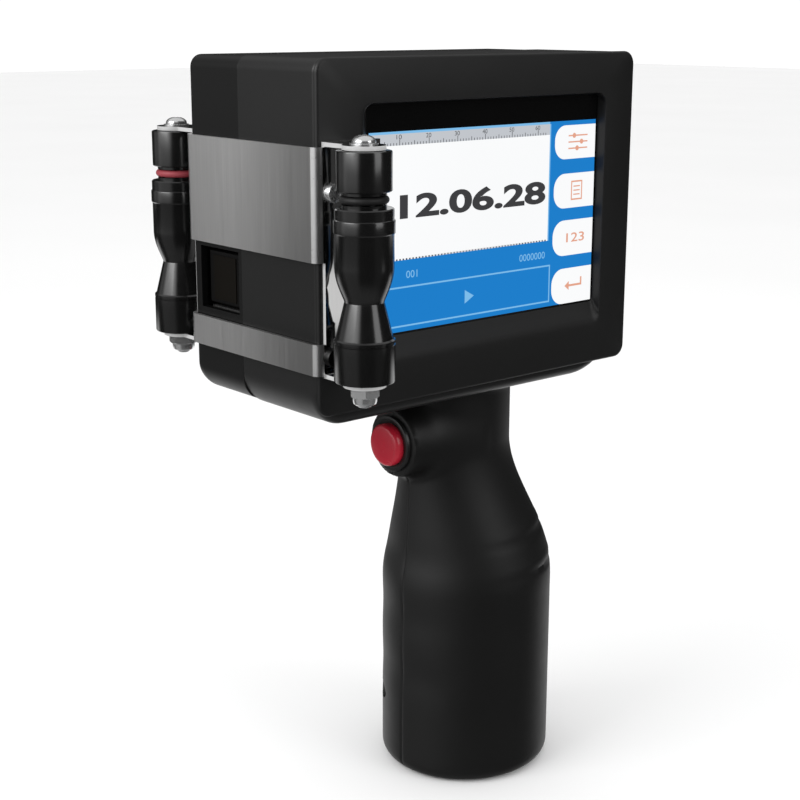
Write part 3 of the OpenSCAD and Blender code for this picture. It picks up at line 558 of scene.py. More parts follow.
def makeSideShell():
    s = sideShell
    drop, footDrop, corner = s["drop"], s["footDrop"], s["corner"]
    rings = []
    for k in range(ringSteps + 1):
        d = s["footEdge"] * (k / ringSteps) ** 1.5
        rings.append(atY(sideY - d, headOutline(
            drop + edgeInset(s["edge"], d), footDrop + edgeInset(s["footEdge"], d),
            corner=corner)))
    rings.append(atY(seamY + 0.35, headOutline(drop, footDrop, corner=corner)))
    rings.append(atY(seamY, headOutline(drop + 0.3, footDrop + 0.3, corner=corner)))
    shell = skin("cartridge_shell_body", rings, sideBlack)
    y0, y1, z0, z1 = s["window"]
    gap = s["doorGap"]
    doorX0, doorX1 = doorLow[0], s["doorRear"]
    pivotX, pivotY = s["pivot"]
    seatRadius, seatDepth = s["screwSeat"]
    cutters = [
        slabY("c", headOutline(wall + drop, wall + footDrop, 8, corner), seamY - 1,
              sideY - wall, innerBlack),
        brick("c", (-90, y0, z0), (-80, y1, z1)),
        brick("c", (doorX0 - gap, sideY - wall - 0.1, doorLow[2] - gap),
              (doorX1 + gap, sideY + 1, doorHigh[2] + gap))]
    for low, high in s["doorKnuckles"]:
        cutters.append(rod("c", (pivotX, pivotY, low - gap), 3.5, high - low + 2 * gap, "z"))
        cutters.append(brick("c", (doorX1, sideY - 4, low - gap), (pivotX, sideY + 2, high + gap)))
    for x, z in mainShell["bossAt"]:
        cutters.append(rod("c", (x, sideY - seatDepth, z), seatRadius, 5, "y", segments=40))
    carve(shell, cutters)
    outer, bore = mainShell["bossRadius"], mainShell["bossBore"]
    boss = [(outer, seamY), (outer, sideY - 1.6), (seatRadius, sideY - 1.6),
            (seatRadius, sideY - seatDepth), (bore, sideY - seatDepth), (bore, seamY)]
    extra = [turned("b", boss, (x, 0, z), "y", sideBlack, 36, closed=True)
             for x, z in mainShell["bossAt"]]
    for low, high in s["shellKnuckles"]:
        extra.append(makeKnuckle(low, high, 1.0))
        extra.append(brick("k", (pivotX + 1.1, sideY - wall, low + 0.1),
                           (pivotX + 3.4, pivotY + 0.9, high - 0.1), sideBlack))
    # pad that meets the grip's neck
    middle, padX, padY = s["pad"]
    start = math.asin(seamY / padY)
    sweep = [start + (math.pi - 2 * start) * i / 40 for i in range(41)]
    extra.append(skin("pad", [[(middle + padX * math.cos(a), padY * math.sin(a), z)
                               for a in sweep] for z in (headFoot, headFoot + 2.1)], sideBlack))
    gather(shell, extra)
    settle(dress(shell, 0.18), "housing", "shell", "cartridge_shell")


# screen bezel: one ring-shaped moulding, run round its section
bezel = {"round": 4.0, "rim": 1.1, "recess": (-71, 28.9, 156, 230), "rimSoft": 0.9,
         "opening": (-67.4, 28.4, 162.2, 229.4), "pocket": 1.4, "boss": (3, 1.3),
         "bossAt": [(-78, 235.5), (32.5, 235.5), (-77, 150), (27, 151)]}


def makeBezel():
    s = bezel
    face = bezelLow[1]
    x0, x1, z0, z1 = bezelLow[0], bezelHigh[0], bezelLow[2], bezelHigh[2]
    glassY = glassLow[1]
    shellY = face + s["rim"]
    steps = 8
    # lip that enters the main shell, then out along the back of the rim
    inside = wall + 0.2
    lip = roundedOutline(headFront + inside, headRear - inside, z0 + 1.2, headTop - inside,
                         [2, 2, 8, 16], steps)
    rings = [atY(glassY + s["pocket"], lip), atY(shellY, lip)]
    rings.append(atY(shellY, roundedOutline(x0 + 0.35, x1 - 0.35, z0 + 0.35, z1 - 0.35,
                                            [s["round"] - 0.35] * 4, steps)))
    soft = s["rimSoft"]
    for k in range(8, -1, -1):
        d = soft * k / 8
        inset = edgeInset(soft, d)
        y = face + d * s["rim"] / soft
        rings.append(atY(y, roundedOutline(x0 + inset, x1 - inset, z0 + inset, z1 - inset,
                                           [s["round"] - inset * 0.6] * 4, steps)))
    rim, foot = s["recess"], s["opening"]
    # the recess edge is softened by a curve from the face into the slope
    for t in (-0.35, -0.18, -0.06, 0.0, 0.05, 0.12, 0.22):
        depth = 0 if t <= 0 else t
        y = face + (glassY - face) * max(0.0, (t + 0.2) / 1.2) ** 1.6
        lerp = [rim[i] + (foot[i] - rim[i]) * t for i in range(4)]
        rings.append(atY(y, roundedOutline(*lerp, [4 - depth * 2] * 3 + [3.4 - depth], steps)))
    for t in (0.5, 0.8, 1.0):
        y = face + (glassY - face) * max(0.0, (t + 0.2) / 1.2) ** 1.15
        lerp = [rim[i] + (foot[i] - rim[i]) * t for i in range(4)]
        rings.append(atY(y, roundedOutline(*lerp, [4 - 2.6 * t] * 3 + [3.4 - 2 * t], steps)))
    pocket = roundedOutline(glassLow[0] - 0.2, glassHigh[0] + 0.2, glassLow[2] - 0.2,
                            glassHigh[2] + 0.2, [0.6] * 4, steps)
    rings.append(atY(glassY, pocket))
    rings.append(atY(glassY + s["pocket"], pocket))
    piece = skin("bezel_frame", rings, bezelBlack, closed=True)
    radius, bore = s["boss"]
    near, far = glassY + 0.8, glassHigh[1] + 3
    gather(piece, [turned("b", [(radius, near), (radius, far), (bore, far), (bore, near)],
                          (x, 0, z), "y", bezelBlack, 32, closed=True) for x, z in s["bossAt"]])
    settle(dress(piece, 0.0, 50), "housing", "bezel", "screen_bezel")


print("making the head")
makeMainShell()
makeSideShell()
makeBezel()


# the touch panel and the picture that shows through it
panel = {"left": -66.5, "foot": 162.9, "width": 94.1, "height": 58.6, "step": 0.04,
         "column": 73.2, "ruler": (54.6, 57.9), "page": (21.3, 54.6),
         "pills": [(46.6, 57.2), (31.0, 42.0), (15.7, 27.1), (0.0, 11.5)],
         "pillLeft": 75.6, "button": (3.6, 74.7, 1.4, 13.5), "line": 0.5,
         "date": (11.5, 71.8, 33.3, 40.5), "counters": [("001", (14.0, 18.4, 15.8, 18.0)),
                                                        ("0000000", (60.8, 72.2, 15.8, 18.0))],
         "arrow": (37.6, 41.4, 2.1), "tick": 1.13, "tickLine": 0.22, "holes": (58, 1.26, 0.6, 0.45)}


# flat outline in picture coordinates, laid at a small step in front of the glass
def flatShape(name, points, layer, material):
    y = glassLow[1] - panel["step"] * layer
    verts = [(panel["left"] + u, y, panel["foot"] + v) for u, v in points]
    return newPiece(name, verts, [tuple(range(len(points)))], material)


def rectShape(u0, u1, v0, v1, layer, material):
    return flatShape("r", [(u0, v0), (u1, v0), (u1, v1), (u0, v1)], layer, material)


def discShape(u, v, radius, layer, material):
    return flatShape("d", arcPoints(u, v, radius, 0, 360, 24), layer, material)


# outline of a box drawn as four thin bars
def frameShape(u0, u1, v0, v1, line, layer, material):
    return [rectShape(u0, u1, v0, v0 + line, layer, material),
            rectShape(u0, u1, v1 - line, v1, layer, material),
            rectShape(u0, u0 + line, v0 + line, v1 - line, layer, material),
            rectShape(u1 - line, u1, v0 + line, v1 - line, layer, material)]


# digits as flat figures of the built-in face, fitted to a box; weight thickens the strokes
def digits(text, box, weight, layer, material):
    curve = bpy.data.curves.new("digits", "FONT")
    curve.body = text
    curve.size = 0.01
    curve.offset = weight * mm
    curve.resolution_u = 6
    holder = bpy.data.objects.new("digits", curve)
    bpy.context.scene.collection.objects.link(holder)
    bpy.context.view_layer.update()
    mesh = bpy.data.meshes.new_from_object(
        holder.evaluated_get(bpy.context.evaluated_depsgraph_get()))
    bpy.data.objects.remove(holder)
    y = glassLow[1] - panel["step"] * layer
    xs = [vert.co.x for vert in mesh.vertices]
    ys = [vert.co.y for vert in mesh.vertices]
    u0, u1, v0, v1 = box
    for vert in mesh.vertices:
        u = u0 + (u1 - u0) * (vert.co.x - min(xs)) / (max(xs) - min(xs))
        v = v0 + (v1 - v0) * (vert.co.y - min(ys)) / (max(ys) - min(ys))
        vert.co = Vector(((panel["left"] + u) * mm, y * mm, (panel["foot"] + v) * mm))
    piece = bpy.data.objects.new("digits", mesh)
    mesh.materials.clear()
    mesh.materials.append(material)
    bpy.context.scene.collection.objects.link(piece)
    return piece


# joins shapes of several colours into one piece; flat ones are turned to the screen side
def joinShapes(name, shapes, flat=False):
    mats = []
    work = bmesh.new()
    for shape in shapes:
        material = shape.data.materials[0]
        if material not in mats:
            mats.append(material)
        first = len(work.faces)
        work.from_mesh(shape.data)
        work.faces.ensure_lookup_table()
        for face in work.faces[first:]:
            face.material_index = mats.index(material)
            if flat and face.normal.y > 0:
                face.normal_flip()
        mesh = shape.data
        bpy.data.objects.remove(shape)
        bpy.data.meshes.remove(mesh)
    mesh = bpy.data.meshes.new(name)
    work.to_mesh(mesh)
    work.free()
    for material in mats:
        mesh.materials.append(material)
    piece = bpy.data.objects.new(name, mesh)
    bpy.context.scene.collection.objects.link(piece)
    return piece


def makePicture():
    p = panel
    width, height = p["width"], p["height"]
    shapes = [rectShape(0, width, 0, height, 1, screenBlue),
              rectShape(0, p["column"], p["ruler"][1], height, 2, screenPale),
              rectShape(0, p["column"], p["ruler"][0], p["ruler"][1], 2, screenGrey),
              rectShape(0, p["column"], p["page"][0], p["page"][1], 2, screenWhite),
              rectShape(p["column"], p["column"] + 0.5, p["page"][0], p["ruler"][1], 2,
                        screenPale)]
    # ruler: a tick each millimetre of print, longer at five and ten
    scaleFoot = p["ruler"][0]
    for k in range(int(p["column"] / p["tick"])):
        tall = 1.7 if k % 10 == 0 else 1.2 if k % 5 == 0 else 0.75
        u = k * p["tick"]
        shapes.append(rectShape(u, u + p["tickLine"], scaleFoot, scaleFoot + tall, 3, screenInk))
        if k % 10 == 0 and k:
            box = (u - 1.1, u + 0.9, scaleFoot + 1.75, scaleFoot + 3.05)
            shapes.append(digits(str(k), box, 0.0, 3, screenInk))
    # perforated foot of the page
    count, pitch, wide, tall = p["holes"]
    pageFoot = p["page"][0]
    for k in range(count):
        shapes.append(rectShape(k * pitch, k * pitch + wide, pageFoot, pageFoot + tall, 3,
                                screenInk))
    shapes.append(digits("12.06.28", p["date"], 0.35, 3, screenInk))
    for figures, box in p["counters"]:
        shapes.append(digits(figures, box, 0.05, 3, screenPale))
    u0, u1, v0, v1 = p["button"]
    shapes += frameShape(u0, u1, v0, v1, p["line"], 3, screenPale)
    middle = (v0 + v1) / 2
    tail, tip, rise = p["arrow"]
    shapes.append(flatShape("t", [(tail, middle - rise), (tip, middle), (tail, middle + rise)], 3,
                            screenPale))
    # pill keys, cut off by the edge of the display
    for k, (low, high) in enumerate(p["pills"]):
        left, radius = p["pillLeft"], (high - low) / 2
        corner = radius * 0.86
        outline = (arcPoints(left + corner, high - corner, corner, 90, 180, 10)
                   + arcPoints(left + corner, low + corner, corner, 180, 270, 10)
                   + [(width, low), (width, high)])
        shapes.append(flatShape("pill", outline, 2, screenWhite))
        shapes += keyMark(k, (left + width) / 2 + 1.2, (low + high) / 2)
    picture = joinShapes("lit_picture", shapes, flat=True)
    settle(picture, "housing", "display")


# plain marks for the four keys: sliders, a sheet, a counter and a return arrow
def keyMark(kind, u, v):
    ink = screenOrange
    if kind == 0:
        marks = []
        for row, knob in ((2.0, -1.8), (0.0, 1.6), (-2.0, -0.4)):
            marks.append(rectShape(u - 4.4, u + 4.4, v + row - 0.22, v + row + 0.22, 3, ink))
            marks.append(discShape(u + knob, v + row, 0.8, 4, ink))
        return marks
    if kind == 1:
        marks = frameShape(u - 2.6, u + 2.6, v - 3.1, v + 3.1, 0.5, 3, ink)
        for row in (1.3, 0.0, -1.3):
            marks.append(rectShape(u - 1.5, u + 1.5, v + row - 0.2, v + row + 0.2, 3, ink))
        return marks
    if kind == 2:
        return [digits("123", (u - 4.2, u + 4.2, v - 1.5, v + 1.5), 0.1, 3, ink)]
    return [rectShape(u - 3.2, u + 3.6, v - 0.35, v + 0.35, 3, ink),
            rectShape(u + 2.9, u + 3.6, v + 0.35, v + 2.4, 3, ink),
            flatShape("t", [(u - 4.4, v), (u - 2.4, v - 1.5), (u - 2.4, v + 1.5)], 4, ink)]


def makeGlass():
    low, high = glassLow, glassHigh
    outline = roundedOutline(low[0], high[0], low[2], high[2], [0.8] * 4, 4)
    glass = slabY("touch_panel", outline, low[1], high[1], glassBlack)
    settle(dress(glass, 0.12), "housing", "glass", "touch_glass")


print("making the screen")
makeGlass()
makePicture()


# guide plate: a sheet steel U with a window through its front, and four ears
guide = {"sheet": 1.2, "bend": 3.0, "earBend": 1.4, "window": (164.1, 187.1), "earRadius": 6.0,
         "front": (155.0, 218.9), "rollerX": -82.8, "rollerY": 46.1, "hole": 2.05,
         "screwAt": [(-83.6, 206.4), (-70.5, 206.4), (-84.3, 160.4), (-70.5, 160.4)]}


plateHalf = sideY + 0.1 + guide["sheet"]


# U of the sheet in plan, outer face then inner face
def platePlan():
    front, rear = plateLow[0], plateHigh[0]
    t, r, half = guide["sheet"], guide["bend"], plateHalf
    near, far = half - r, -half + r
    outer = arcPoints(front + r, near, r, 90, 180, 8) + arcPoints(front + r, far, r, 180, 270, 8)
    inner = (arcPoints(front + r, far, r - t, 270, 180, 8)
             + arcPoints(front + r, near, r - t, 180, 90, 8))
    return ([(rear, half)] + outer + [(rear, -half)]
            + [(rear, -half + t)] + inner + [(rear, half - t)])


# ear at one end of a flange: down the flange, round the bend and out to the axle
def makeEar(side, top):
    s = guide
    t, r, out = s["sheet"], s["earBend"], s["rollerY"]
    edge = plateHigh[2] if top else plateLow[2]
    inward = -1 if top else 1
    inner = plateHalf - t
    # the section's second value is its depth below the ear's outer face
    section = ([(inner, 6)] + arcPoints(inner + r, r, r, 180, 270, 6) + [(out, 0), (out, t)]
               + arcPoints(inner + r, r, r - t, 270, 180, 6) + [(plateHalf, 6)])
    ends = plateLow[0] + s["bend"], s["rollerX"] + s["earRadius"]
    ear = skin("ear", [[(x, side * y, edge + inward * depth) for y, depth in section]
                       for x in ends], plateSteel)
    y = side * out
    weld(ear, [rod("disc", (s["rollerX"], y, edge - (t if top else 0)), s["earRadius"], t, "z",
                   plateSteel, 64)])
    carve(ear, [rod("hole", (s["rollerX"], y, edge - 3), s["hole"], 6, "z")])
    return ear


# the flanges are polished, the front is brushed, the bends and the sheared edges shine
def finishPlate(plate):
    for finish in (flangeSteel, bendSteel, shearedEdge):
        plate.data.materials.append(finish)
    front, flange, bend, edge = range(4)
    outside, inside = (plateHalf + 0.1) * mm, (plateHalf - guide["sheet"] - 0.1) * mm
    flangeStart = (plateLow[0] + guide["bend"] - 0.5) * mm
    for face in plate.data.polygons:
        spot, lean = face.center, face.normal
        kind = front
        if abs(spot.y) > outside:
            kind = edge if abs(lean.z) < 0.5 else flange
        elif abs(lean.y) > 0.97 and abs(spot.y) > inside:
            kind = flange
        elif abs(lean.x) > 0.97 and spot.x > flangeStart:
            kind = edge
        elif abs(lean.x) > 0.15 and abs(lean.y) > 0.15:
            kind = bend
        face.material_index = kind


def makeGuidePlate():
    s = guide
    plan = platePlan()
    low, high = plateLow[2], plateHigh[2]
    plate = skin("guide_plate_sheet", [[(x, y, z) for x, y in plan] for z in (low, high)],
                 plateSteel)
    # the window and both ends of the front are cut through the bends
    cutters = [brick("c", (plateLow[0] - 1, -40, z0), (plateLow[0] + s["bend"], 40, z1))
               for z0, z1 in ((low - 1, s["front"][0]), s["window"], (s["front"][1], high + 1))]
    cutters += [rod("c", (x, side * 33 - 3, z), 1.1, 6, "y", segments=24)
                for side in (-1, 1) for x, z in s["screwAt"]]
    carve(plate, cutters)
    weld(plate, [makeEar(side, top) for side in (-1, 1) for top in (True, False)])
    finishPlate(plate)
    settle(dress(plate, 0.16, 28), "housing", "plate", "guide_plate")


# socket head screws that hold the flanges; radius and height from the flange's face
flangeScrew = [(0.0, 2.4), (2.15, 2.4), (2.45, 2.25), (2.6, 1.9), (2.6, 0.1), (2.5, 0.0),
               (1.0, 0.0), (1.0, -4.0), (0.0, -4.0)]


def makePlateScrews():
    screws = []
    for side in (-1, 1):
        for x, z in guide["screwAt"]:
            profile = [(r, side * (plateHalf + h)) for r, h in flangeScrew]
            finish = brightZinc if z > guide["window"][1] else blackOxide
            screw = turned("s", profile, (x, 0, z), "y", finish, 40)
            socket = arcPoints(x, z, 1.4, 20, 320, 5)
            carve(screw, [slabY("c", socket, side * (plateHalf + 1), side * (plateHalf + 3),
                                innerBlack)])
            screws.append(screw)
    piece = joinShapes("flange_screws", screws)
    settle(dress(piece, 0.0), "housing", "fastener", "plate_screws")


# axle bolts with socket heads, their washers and lock nuts
axle = {"head": 3.25, "headHeight": 2.2, "headEdge": 0.35, "shank": 2.0, "end": 5.9,
        "washer": 3.9, "washerThick": 0.5, "nut": 4.5, "nutHeight": 3.0, "nutBore": 2.03}


def hexPrism(name, place, radius, height, material, spin):
    x, y, z = place
    plan = arcPoints(x, y, radius, spin, spin + 300, 5)
    return skin(name, [[(px, py, z + rise) for px, py in plan] for rise in (0, height)], material)


def makeWasher(x, y):
    s = axle
    bore, edge, thick = s["shank"] + 0.1, s["washer"], s["washerThick"]
    return turned("w", [(bore, 0), (edge, 0), (edge, thick), (bore, thick)],
                  (x, y, plateHigh[2]), "z", brightZinc, 48, closed=True)


# domed bolt with a hexagonal socket
def makeBolt(x, y):
    s = axle
    base = plateHigh[2] + s["washerThick"]
    end, shank = plateLow[2] - s["end"] - base, s["shank"]
    dome = [(s["head"] * math.cos(math.radians(a)) if a < 90 else 0.0,
             s["headEdge"] + (s["headHeight"] - s["headEdge"]) * math.sin(math.radians(a)))
            for a in range(0, 91, 10)]
    profile = [(0, end), (shank - 0.3, end), (shank, end + 0.3), (shank, 0), (s["head"], 0)] + dome
    bolt = turned("b", profile, (x, y, base), "z", brightZinc, 48)
    carve(bolt, [hexPrism("c", (x, y, base + 0.8), 1.45, 3, innerBlack, 12)])
    return bolt


# lock nut: a hexagon with its corners turned off, over a round collar
def makeNut(x, y, spin):
    s = axle
    foot, height, bore = plateLow[2], s["nutHeight"], s["nutBore"]
    nut = hexPrism("n", (x, y, foot - height), s["nut"], height, brightZinc, spin)
    trim = turned("t", [(3.7, -height - 0.01), (4.2, -height + 0.3), (4.7, -height + 0.7),
                        (4.7, -0.6), (4.25, -0.25), (3.8, 0.01)], (x, y, foot), "z",
                  brightZinc, 48)
    combine(nut, [trim], "INTERSECT")
    collar = turned("t", [(3.5, 0.0), (3.5, -1.1), (3.3, -1.8), (2.8, -2.2), (2.2, -2.2),
                          (bore, -1.7), (bore, 0.0)],
                    (x, y, foot - height + 0.01), "z", brightZinc, 48, closed=True)
    carve(nut, [rod("c", (x, y, foot - 2 * height), bore, 8, "z", segments=40)])
    return gather(nut, [collar])


def makeAxles():
    bolts, washers, nuts = [], [], []
    for side in (-1, 1):
        x, y = guide["rollerX"], side * guide["rollerY"]
        washers.append(makeWasher(x, y))
        bolts.append(makeBolt(x, y))
        nuts.append(makeNut(x, y, 8 + 14 * side))
    for name, parts, node in (("axle_bolt_pair", bolts, "axle_bolts"),
                              ("axle_washer_pair", washers, "axle_washers"),
                              ("lock_nut_pair", nuts, "axle_nuts")):
        piece = gather(parts[0], parts[1:])
        piece.name = name
        settle(dress(piece, 0.10), "housing", "fastener", node)


print("making the guide plate")
makeGuidePlate()
makePlateScrews()
makeAxles()


# rollers: one turned profile, with a ring groove near the top
roller = {"foot": 155.7, "head": 218.9, "bore": 3.5, "drum": 7.7, "lower": 8.5, "barrel": 8.2,
          "band": 8.5, "waist": 5.5, "grooveAt": 205.8, "grooveHalf": 2.2, "shoulder": 6.2,
          "seatHalf": 1.3, "grooveRadius": 4.6, "ringSection": 1.1, "scribe": 166.6,
          "waistAt": 177.95, "neck": (178.6, 187.6), "bandFrom": 196.5, "bandTo": 200.6}


# neck that leaves the waist as a cone and eases into the barrel
def neckCurve(fromZ, toZ, fromR, toR, steps):
    turns = [math.pi / 2 * i / steps for i in range(steps + 1)]
    return [(fromR + (toR - fromR) * math.sin(a), fromZ + (toZ - fromZ) * a / (math.pi / 2))
            for a in turns]


def makeRoller(name, side, body, slot, nodes):
    s = roller
    soft = 0.45
    bore, foot, head, drum = s["bore"], s["foot"], s["head"], s["drum"]
    lower, waist, barrel, band = s["lower"], s["waist"], s["barrel"], s["band"]
    scribe, waistZ, first, last = s["scribe"], s["waistAt"], s["bandFrom"], s["bandTo"]
    # lower drum with a scribed line, then the cone up to the waist
    profile = [(bore, foot), (lower - soft, foot), (lower - 0.13, foot + 0.13),
               (lower, foot + soft), (lower, scribe - 0.3), (lower - 0.25, scribe - 0.15),
               (lower - 0.25, scribe + 0.15), (lower, scribe + 0.3), (lower, scribe + 1.0),
               (lower - 0.5, scribe + 1.4), (waist + 0.15, waistZ - 0.45), (waist, waistZ),
               (waist + 0.1, waistZ + 0.35)]
    profile += neckCurve(*s["neck"], waist + 0.2, barrel, 16)
    profile += [(barrel, first), (barrel + 0.05, first + 0.15), (band - 0.1, first + 0.3),
                (band, first + 0.5), (band, last - 0.4), (band - 0.1, last - 0.15),
                (barrel, last)]
    # ring groove, then the upper drum
    groove, half, seat = s["grooveAt"], s["grooveHalf"], s["seatHalf"]
    shoulder, floor = s["shoulder"], s["grooveRadius"]
    profile += [(barrel, groove - half - 0.3), (barrel - 0.3, groove - half),
                (shoulder, groove - half), (shoulder, groove - seat), (floor, groove - seat),
                (floor, groove + seat), (shoulder, groove + seat), (shoulder, groove + half),
                (drum - 0.3, groove + half), (drum, groove + half + 0.3), (drum, head - soft),
                (drum - 0.13, head - 0.13), (drum - soft, head), (bore, head)]
    piece = turned(name, profile, (guide["rollerX"], side * guide["rollerY"], 0), "z",
                   rollerBlack, 112, closed=True)
    settle(dress(piece, 0.0, 26), body, slot, nodes)


def makeRing(name, side, body, slot, node, material):
    section = roller["ringSection"]
    centre = roller["grooveRadius"] + section + 0.05
    profile = [(centre + section * math.cos(a), roller["grooveAt"] + section * math.sin(a))
               for a in [2 * math.pi * i / 20 for i in range(20)]]
    piece = turned(name, profile, (guide["rollerX"], side * guide["rollerY"], 0), "z", material,
                   96, closed=True)
    settle(dress(piece, 0.0, 60), body, slot, node)


print("making the rollers")
makeRoller("encoder_roller_turning", 1, "encoder_roller_body", "roller", "encoder_roller")
makeRoller("guide_roller_turning", -1, "guide_roller_body", "roller", "guide_roller")
makeRing("red_grip_ring", 1, "encoder_roller_body", "ring_red", "encoder_ring", redRubber)
makeRing("black_grip_ring", -1, "guide_roller_body", "ring_black", "guide_ring", blackRubber)


# grip: a palm swell under a narrow neck, with a boss for the trigger on its front
grip = {"swellA": 29.6, "swellB": 28.4, "neckA": 20.5, "neckB": 15.4, "neckX": -6.0,
        "swellTop": 116.0, "swellEnd": 66.0, "flare": 2.0, "flareHeight": 6.0, "foot": 5.0,
        "wall": 2.4, "bossX": -33.7, "bossRadius": 11.3, "bossSpread": 0.12, "blend": 3.0,
        "triggerZ": 118.6, "triggerBore": 7.95, "around": 96, "seam": 0.22, "gap": 0.02,
        "creases": [(83.5, 0.6), (72.0, 0.5)], "fingers": (78, 57, 36),
        "wellMouth": 3.2, "wellRadius": 2.9, "wellFloor": 9, "screwBore": 1.35,
        "postAt": [(-24.3, 24), (24.3, 24), (-14, 91), (7, 127)]}


def easeBetween(t):
    u = np.clip(t, 0, 1)
    return u * u * (3 - 2 * u)


def gripSection(z):
    s = grip
    swell = easeBetween((s["swellTop"] - z) / (s["swellTop"] - s["swellEnd"]))
    shift = s["neckX"] * (1 - easeBetween((s["swellTop"] - z)
                                          / (s["swellTop"] - s["swellEnd"] - 8)))
    flare = s["flare"] * (np.clip(z - headFoot + s["flareHeight"], 0, None)
                          / s["flareHeight"]) ** 2
    a = s["neckA"] + (s["swellA"] - s["neckA"]) * swell + flare
    b = s["neckB"] + (s["swellB"] - s["neckB"]) * swell + flare
    return shift, a, b


# smooth union of two distance fields
def softUnion(first, second, blend):
    mix = np.clip(0.5 + 0.5 * (second - first) / blend, 0, 1)
    return second + (first - second) * mix - blend * mix * (1 - mix)


def softMax(first, second, blend):
    return -softUnion(-first, -second, blend)


def gripField(x, y, z, inset):
    s = grip
    shift, a, b = gripSection(z)
    edge = s["foot"] - np.sqrt(np.clip(s["foot"] ** 2 - np.clip(s["foot"] - z, 0, None) ** 2,
                                       0, None))
    ring = np.sqrt(((x - shift) / (a - edge)) ** 2 + (y / (b - edge)) ** 2)
    body = (ring - 1) * b * 0.9
    if inset > 0:
        return body + inset
    spread = s["bossRadius"] + s["bossSpread"] * (x - s["bossX"])
    side = np.sqrt(y ** 2 + (z - s["triggerZ"]) ** 2) - spread
    boss = softMax(softMax(side, s["bossX"] - x, 1.2), x - shift, 4.0)
    field = softUnion(body, boss, s["blend"])
    # creases of the palm on the flank and shallow finger hollows down the front
    flank = np.exp(-((np.arctan2(y, x - shift) + 1.15) / 0.62) ** 2)
    for level, depth in s["creases"]:
        tilt = level + 0.05 * (x - shift)
        field += depth * flank * np.exp(-((z - tilt) / 0.8) ** 2)
        field -= 0.5 * depth * flank * np.exp(-((z - tilt - 2.2) / 1.6) ** 2)
    front = np.exp(-((x - shift + a) / 9) ** 2)
    for level in s["fingers"]:
        field += 0.35 * front * np.exp(-((z - level) / 6) ** 2)
    # the seam between the halves
    field += s["seam"] * np.exp(-(y / 0.28) ** 2)
    return field


# radius from the section's centre to the surface, found by bisection
def gripRadius(angle, z, inset):
    shift = gripSection(z)[0]
    low, high = np.full_like(angle, 1.0), np.full_like(angle, 60.0)
    for _ in range(26):
        middle = (low + high) / 2
        value = gripField(shift + middle * np.cos(angle), middle * np.sin(angle), z, inset)
        low = np.where(value < 0, middle, low)
        high = np.where(value < 0, high, middle)
    return shift, (low + high) / 2


# heights of the rings: close together on the rounded foot and again about the trigger
def gripLevels():
    foot = grip["foot"]
    rise = [foot * (1 - math.cos(math.radians(a))) for a in range(0, 91, 12)]
    palm = [foot + 1.5 * i for i in range(1, 66) if foot + 1.5 * i < 100]
    neck = [100 + 0.6 * i for i in range(58) if 100 + 0.6 * i < headFoot - 0.4]
    return rise + palm + neck + [headFoot]


# screw well whose mouth follows the inside of the skin
def makeWell(x, z):
    s = grip
    mouth, well, floor, bore = s["wellMouth"], s["wellRadius"], s["wellFloor"], s["screwBore"]
    start = 0.2
    rings = []
    # no level means the height of the skin
    for radius, level in ((mouth, start), (mouth, None), (well, None), (well, floor),
                          (bore, floor), (bore, start)):
        ring = []
        for i in range(36):
            turn = math.radians(10 * i)
            px, pz = x + radius * math.cos(turn), z + radius * math.sin(turn)
            shift, a, b = gripSection(pz)
            skinY = b * math.sqrt(max(1 - ((px - shift) / a) ** 2, 0.01)) - 0.7
            ring.append((px, float(skinY) if level is None else level, pz))
        rings.append(ring)
    return skin("well", rings, gripBlack, closed=True)


# faces of a half shell from two equal grids of points, outer then inner
def shellFaces(rows, columns):
    offset = rows * columns
    faces = []
    for r in range(rows - 1):
        for c in range(columns - 1):
            a, b = r * columns + c, r * columns + c + 1
            faces.append((a, b, b + columns, a + columns))
            faces.append((offset + a + columns, offset + b + columns, offset + b, offset + a))
        for c in (0, columns - 1):
            a = r * columns + c
            faces.append((a, a + columns, offset + a + columns, offset + a))
    top = (rows - 1) * columns
    for c in range(columns - 1):
        faces.append((top + c, top + c + 1, offset + top + c + 1, offset + top + c))
    # flat sole: outside at the base and inside on the floor
    faces.append(tuple(range(columns)))
    faces.append(tuple(offset + c for c in reversed(range(columns))))
    faces.append((0, columns - 1, offset + columns - 1, offset))
    return faces


# half of the grip as a closed shell; side is -1 for the screen side
def makeGripHalf(name, side, slot, node):
    s = grip
    count, gap = s["around"], s["gap"]
    start = math.pi if side < 0 else 0.0
    # points gather towards the front, where the boss is, and at both seams
    spread = [i / count for i in range(count + 1)]
    angles = [start + math.pi * (t - 0.05 * math.sin(2 * math.pi * t)) for t in spread]
    levels = gripLevels()
    angleGrid, levelGrid = np.meshgrid(np.array(angles), np.array(levels))
    innerLevels = np.clip(levelGrid, 3.0, None)
    verts = []
    for inset, heights in ((0, levelGrid), (s["wall"], innerLevels)):
        centre, radius = gripRadius(angleGrid, heights, inset)
        xs = centre + radius * np.cos(angleGrid)
        ys = radius * np.sin(angleGrid)
        ys = np.minimum(ys, -gap) if side < 0 else np.maximum(ys, gap)
        verts += [(float(x), float(y), float(z))
                  for x, y, z in zip(xs.ravel(), ys.ravel(), heights.ravel())]
    piece = newPiece(name, verts, shellFaces(len(levels), count + 1), gripBlack)
    cutters = [rod("c", (-50, 0, s["triggerZ"]), s["triggerBore"], 31, "x", segments=64)]
    wells = s["postAt"] if side > 0 else []
    for x, z in wells:
        cutters.append(rod("c", (x, s["wellFloor"], z), s["wellRadius"], 30, "y", segments=40))
    carve(piece, cutters)
    gather(piece, [makeWell(x, z) for x, z in wells])
    settle(dress(piece, 0.0, 40), "housing", slot, node)


print("making the grip")
makeGripHalf("grip_screen_half", -1, "grip", "grip_left")
makeGripHalf("grip_cartridge_half", 1, "grip", "grip_right")


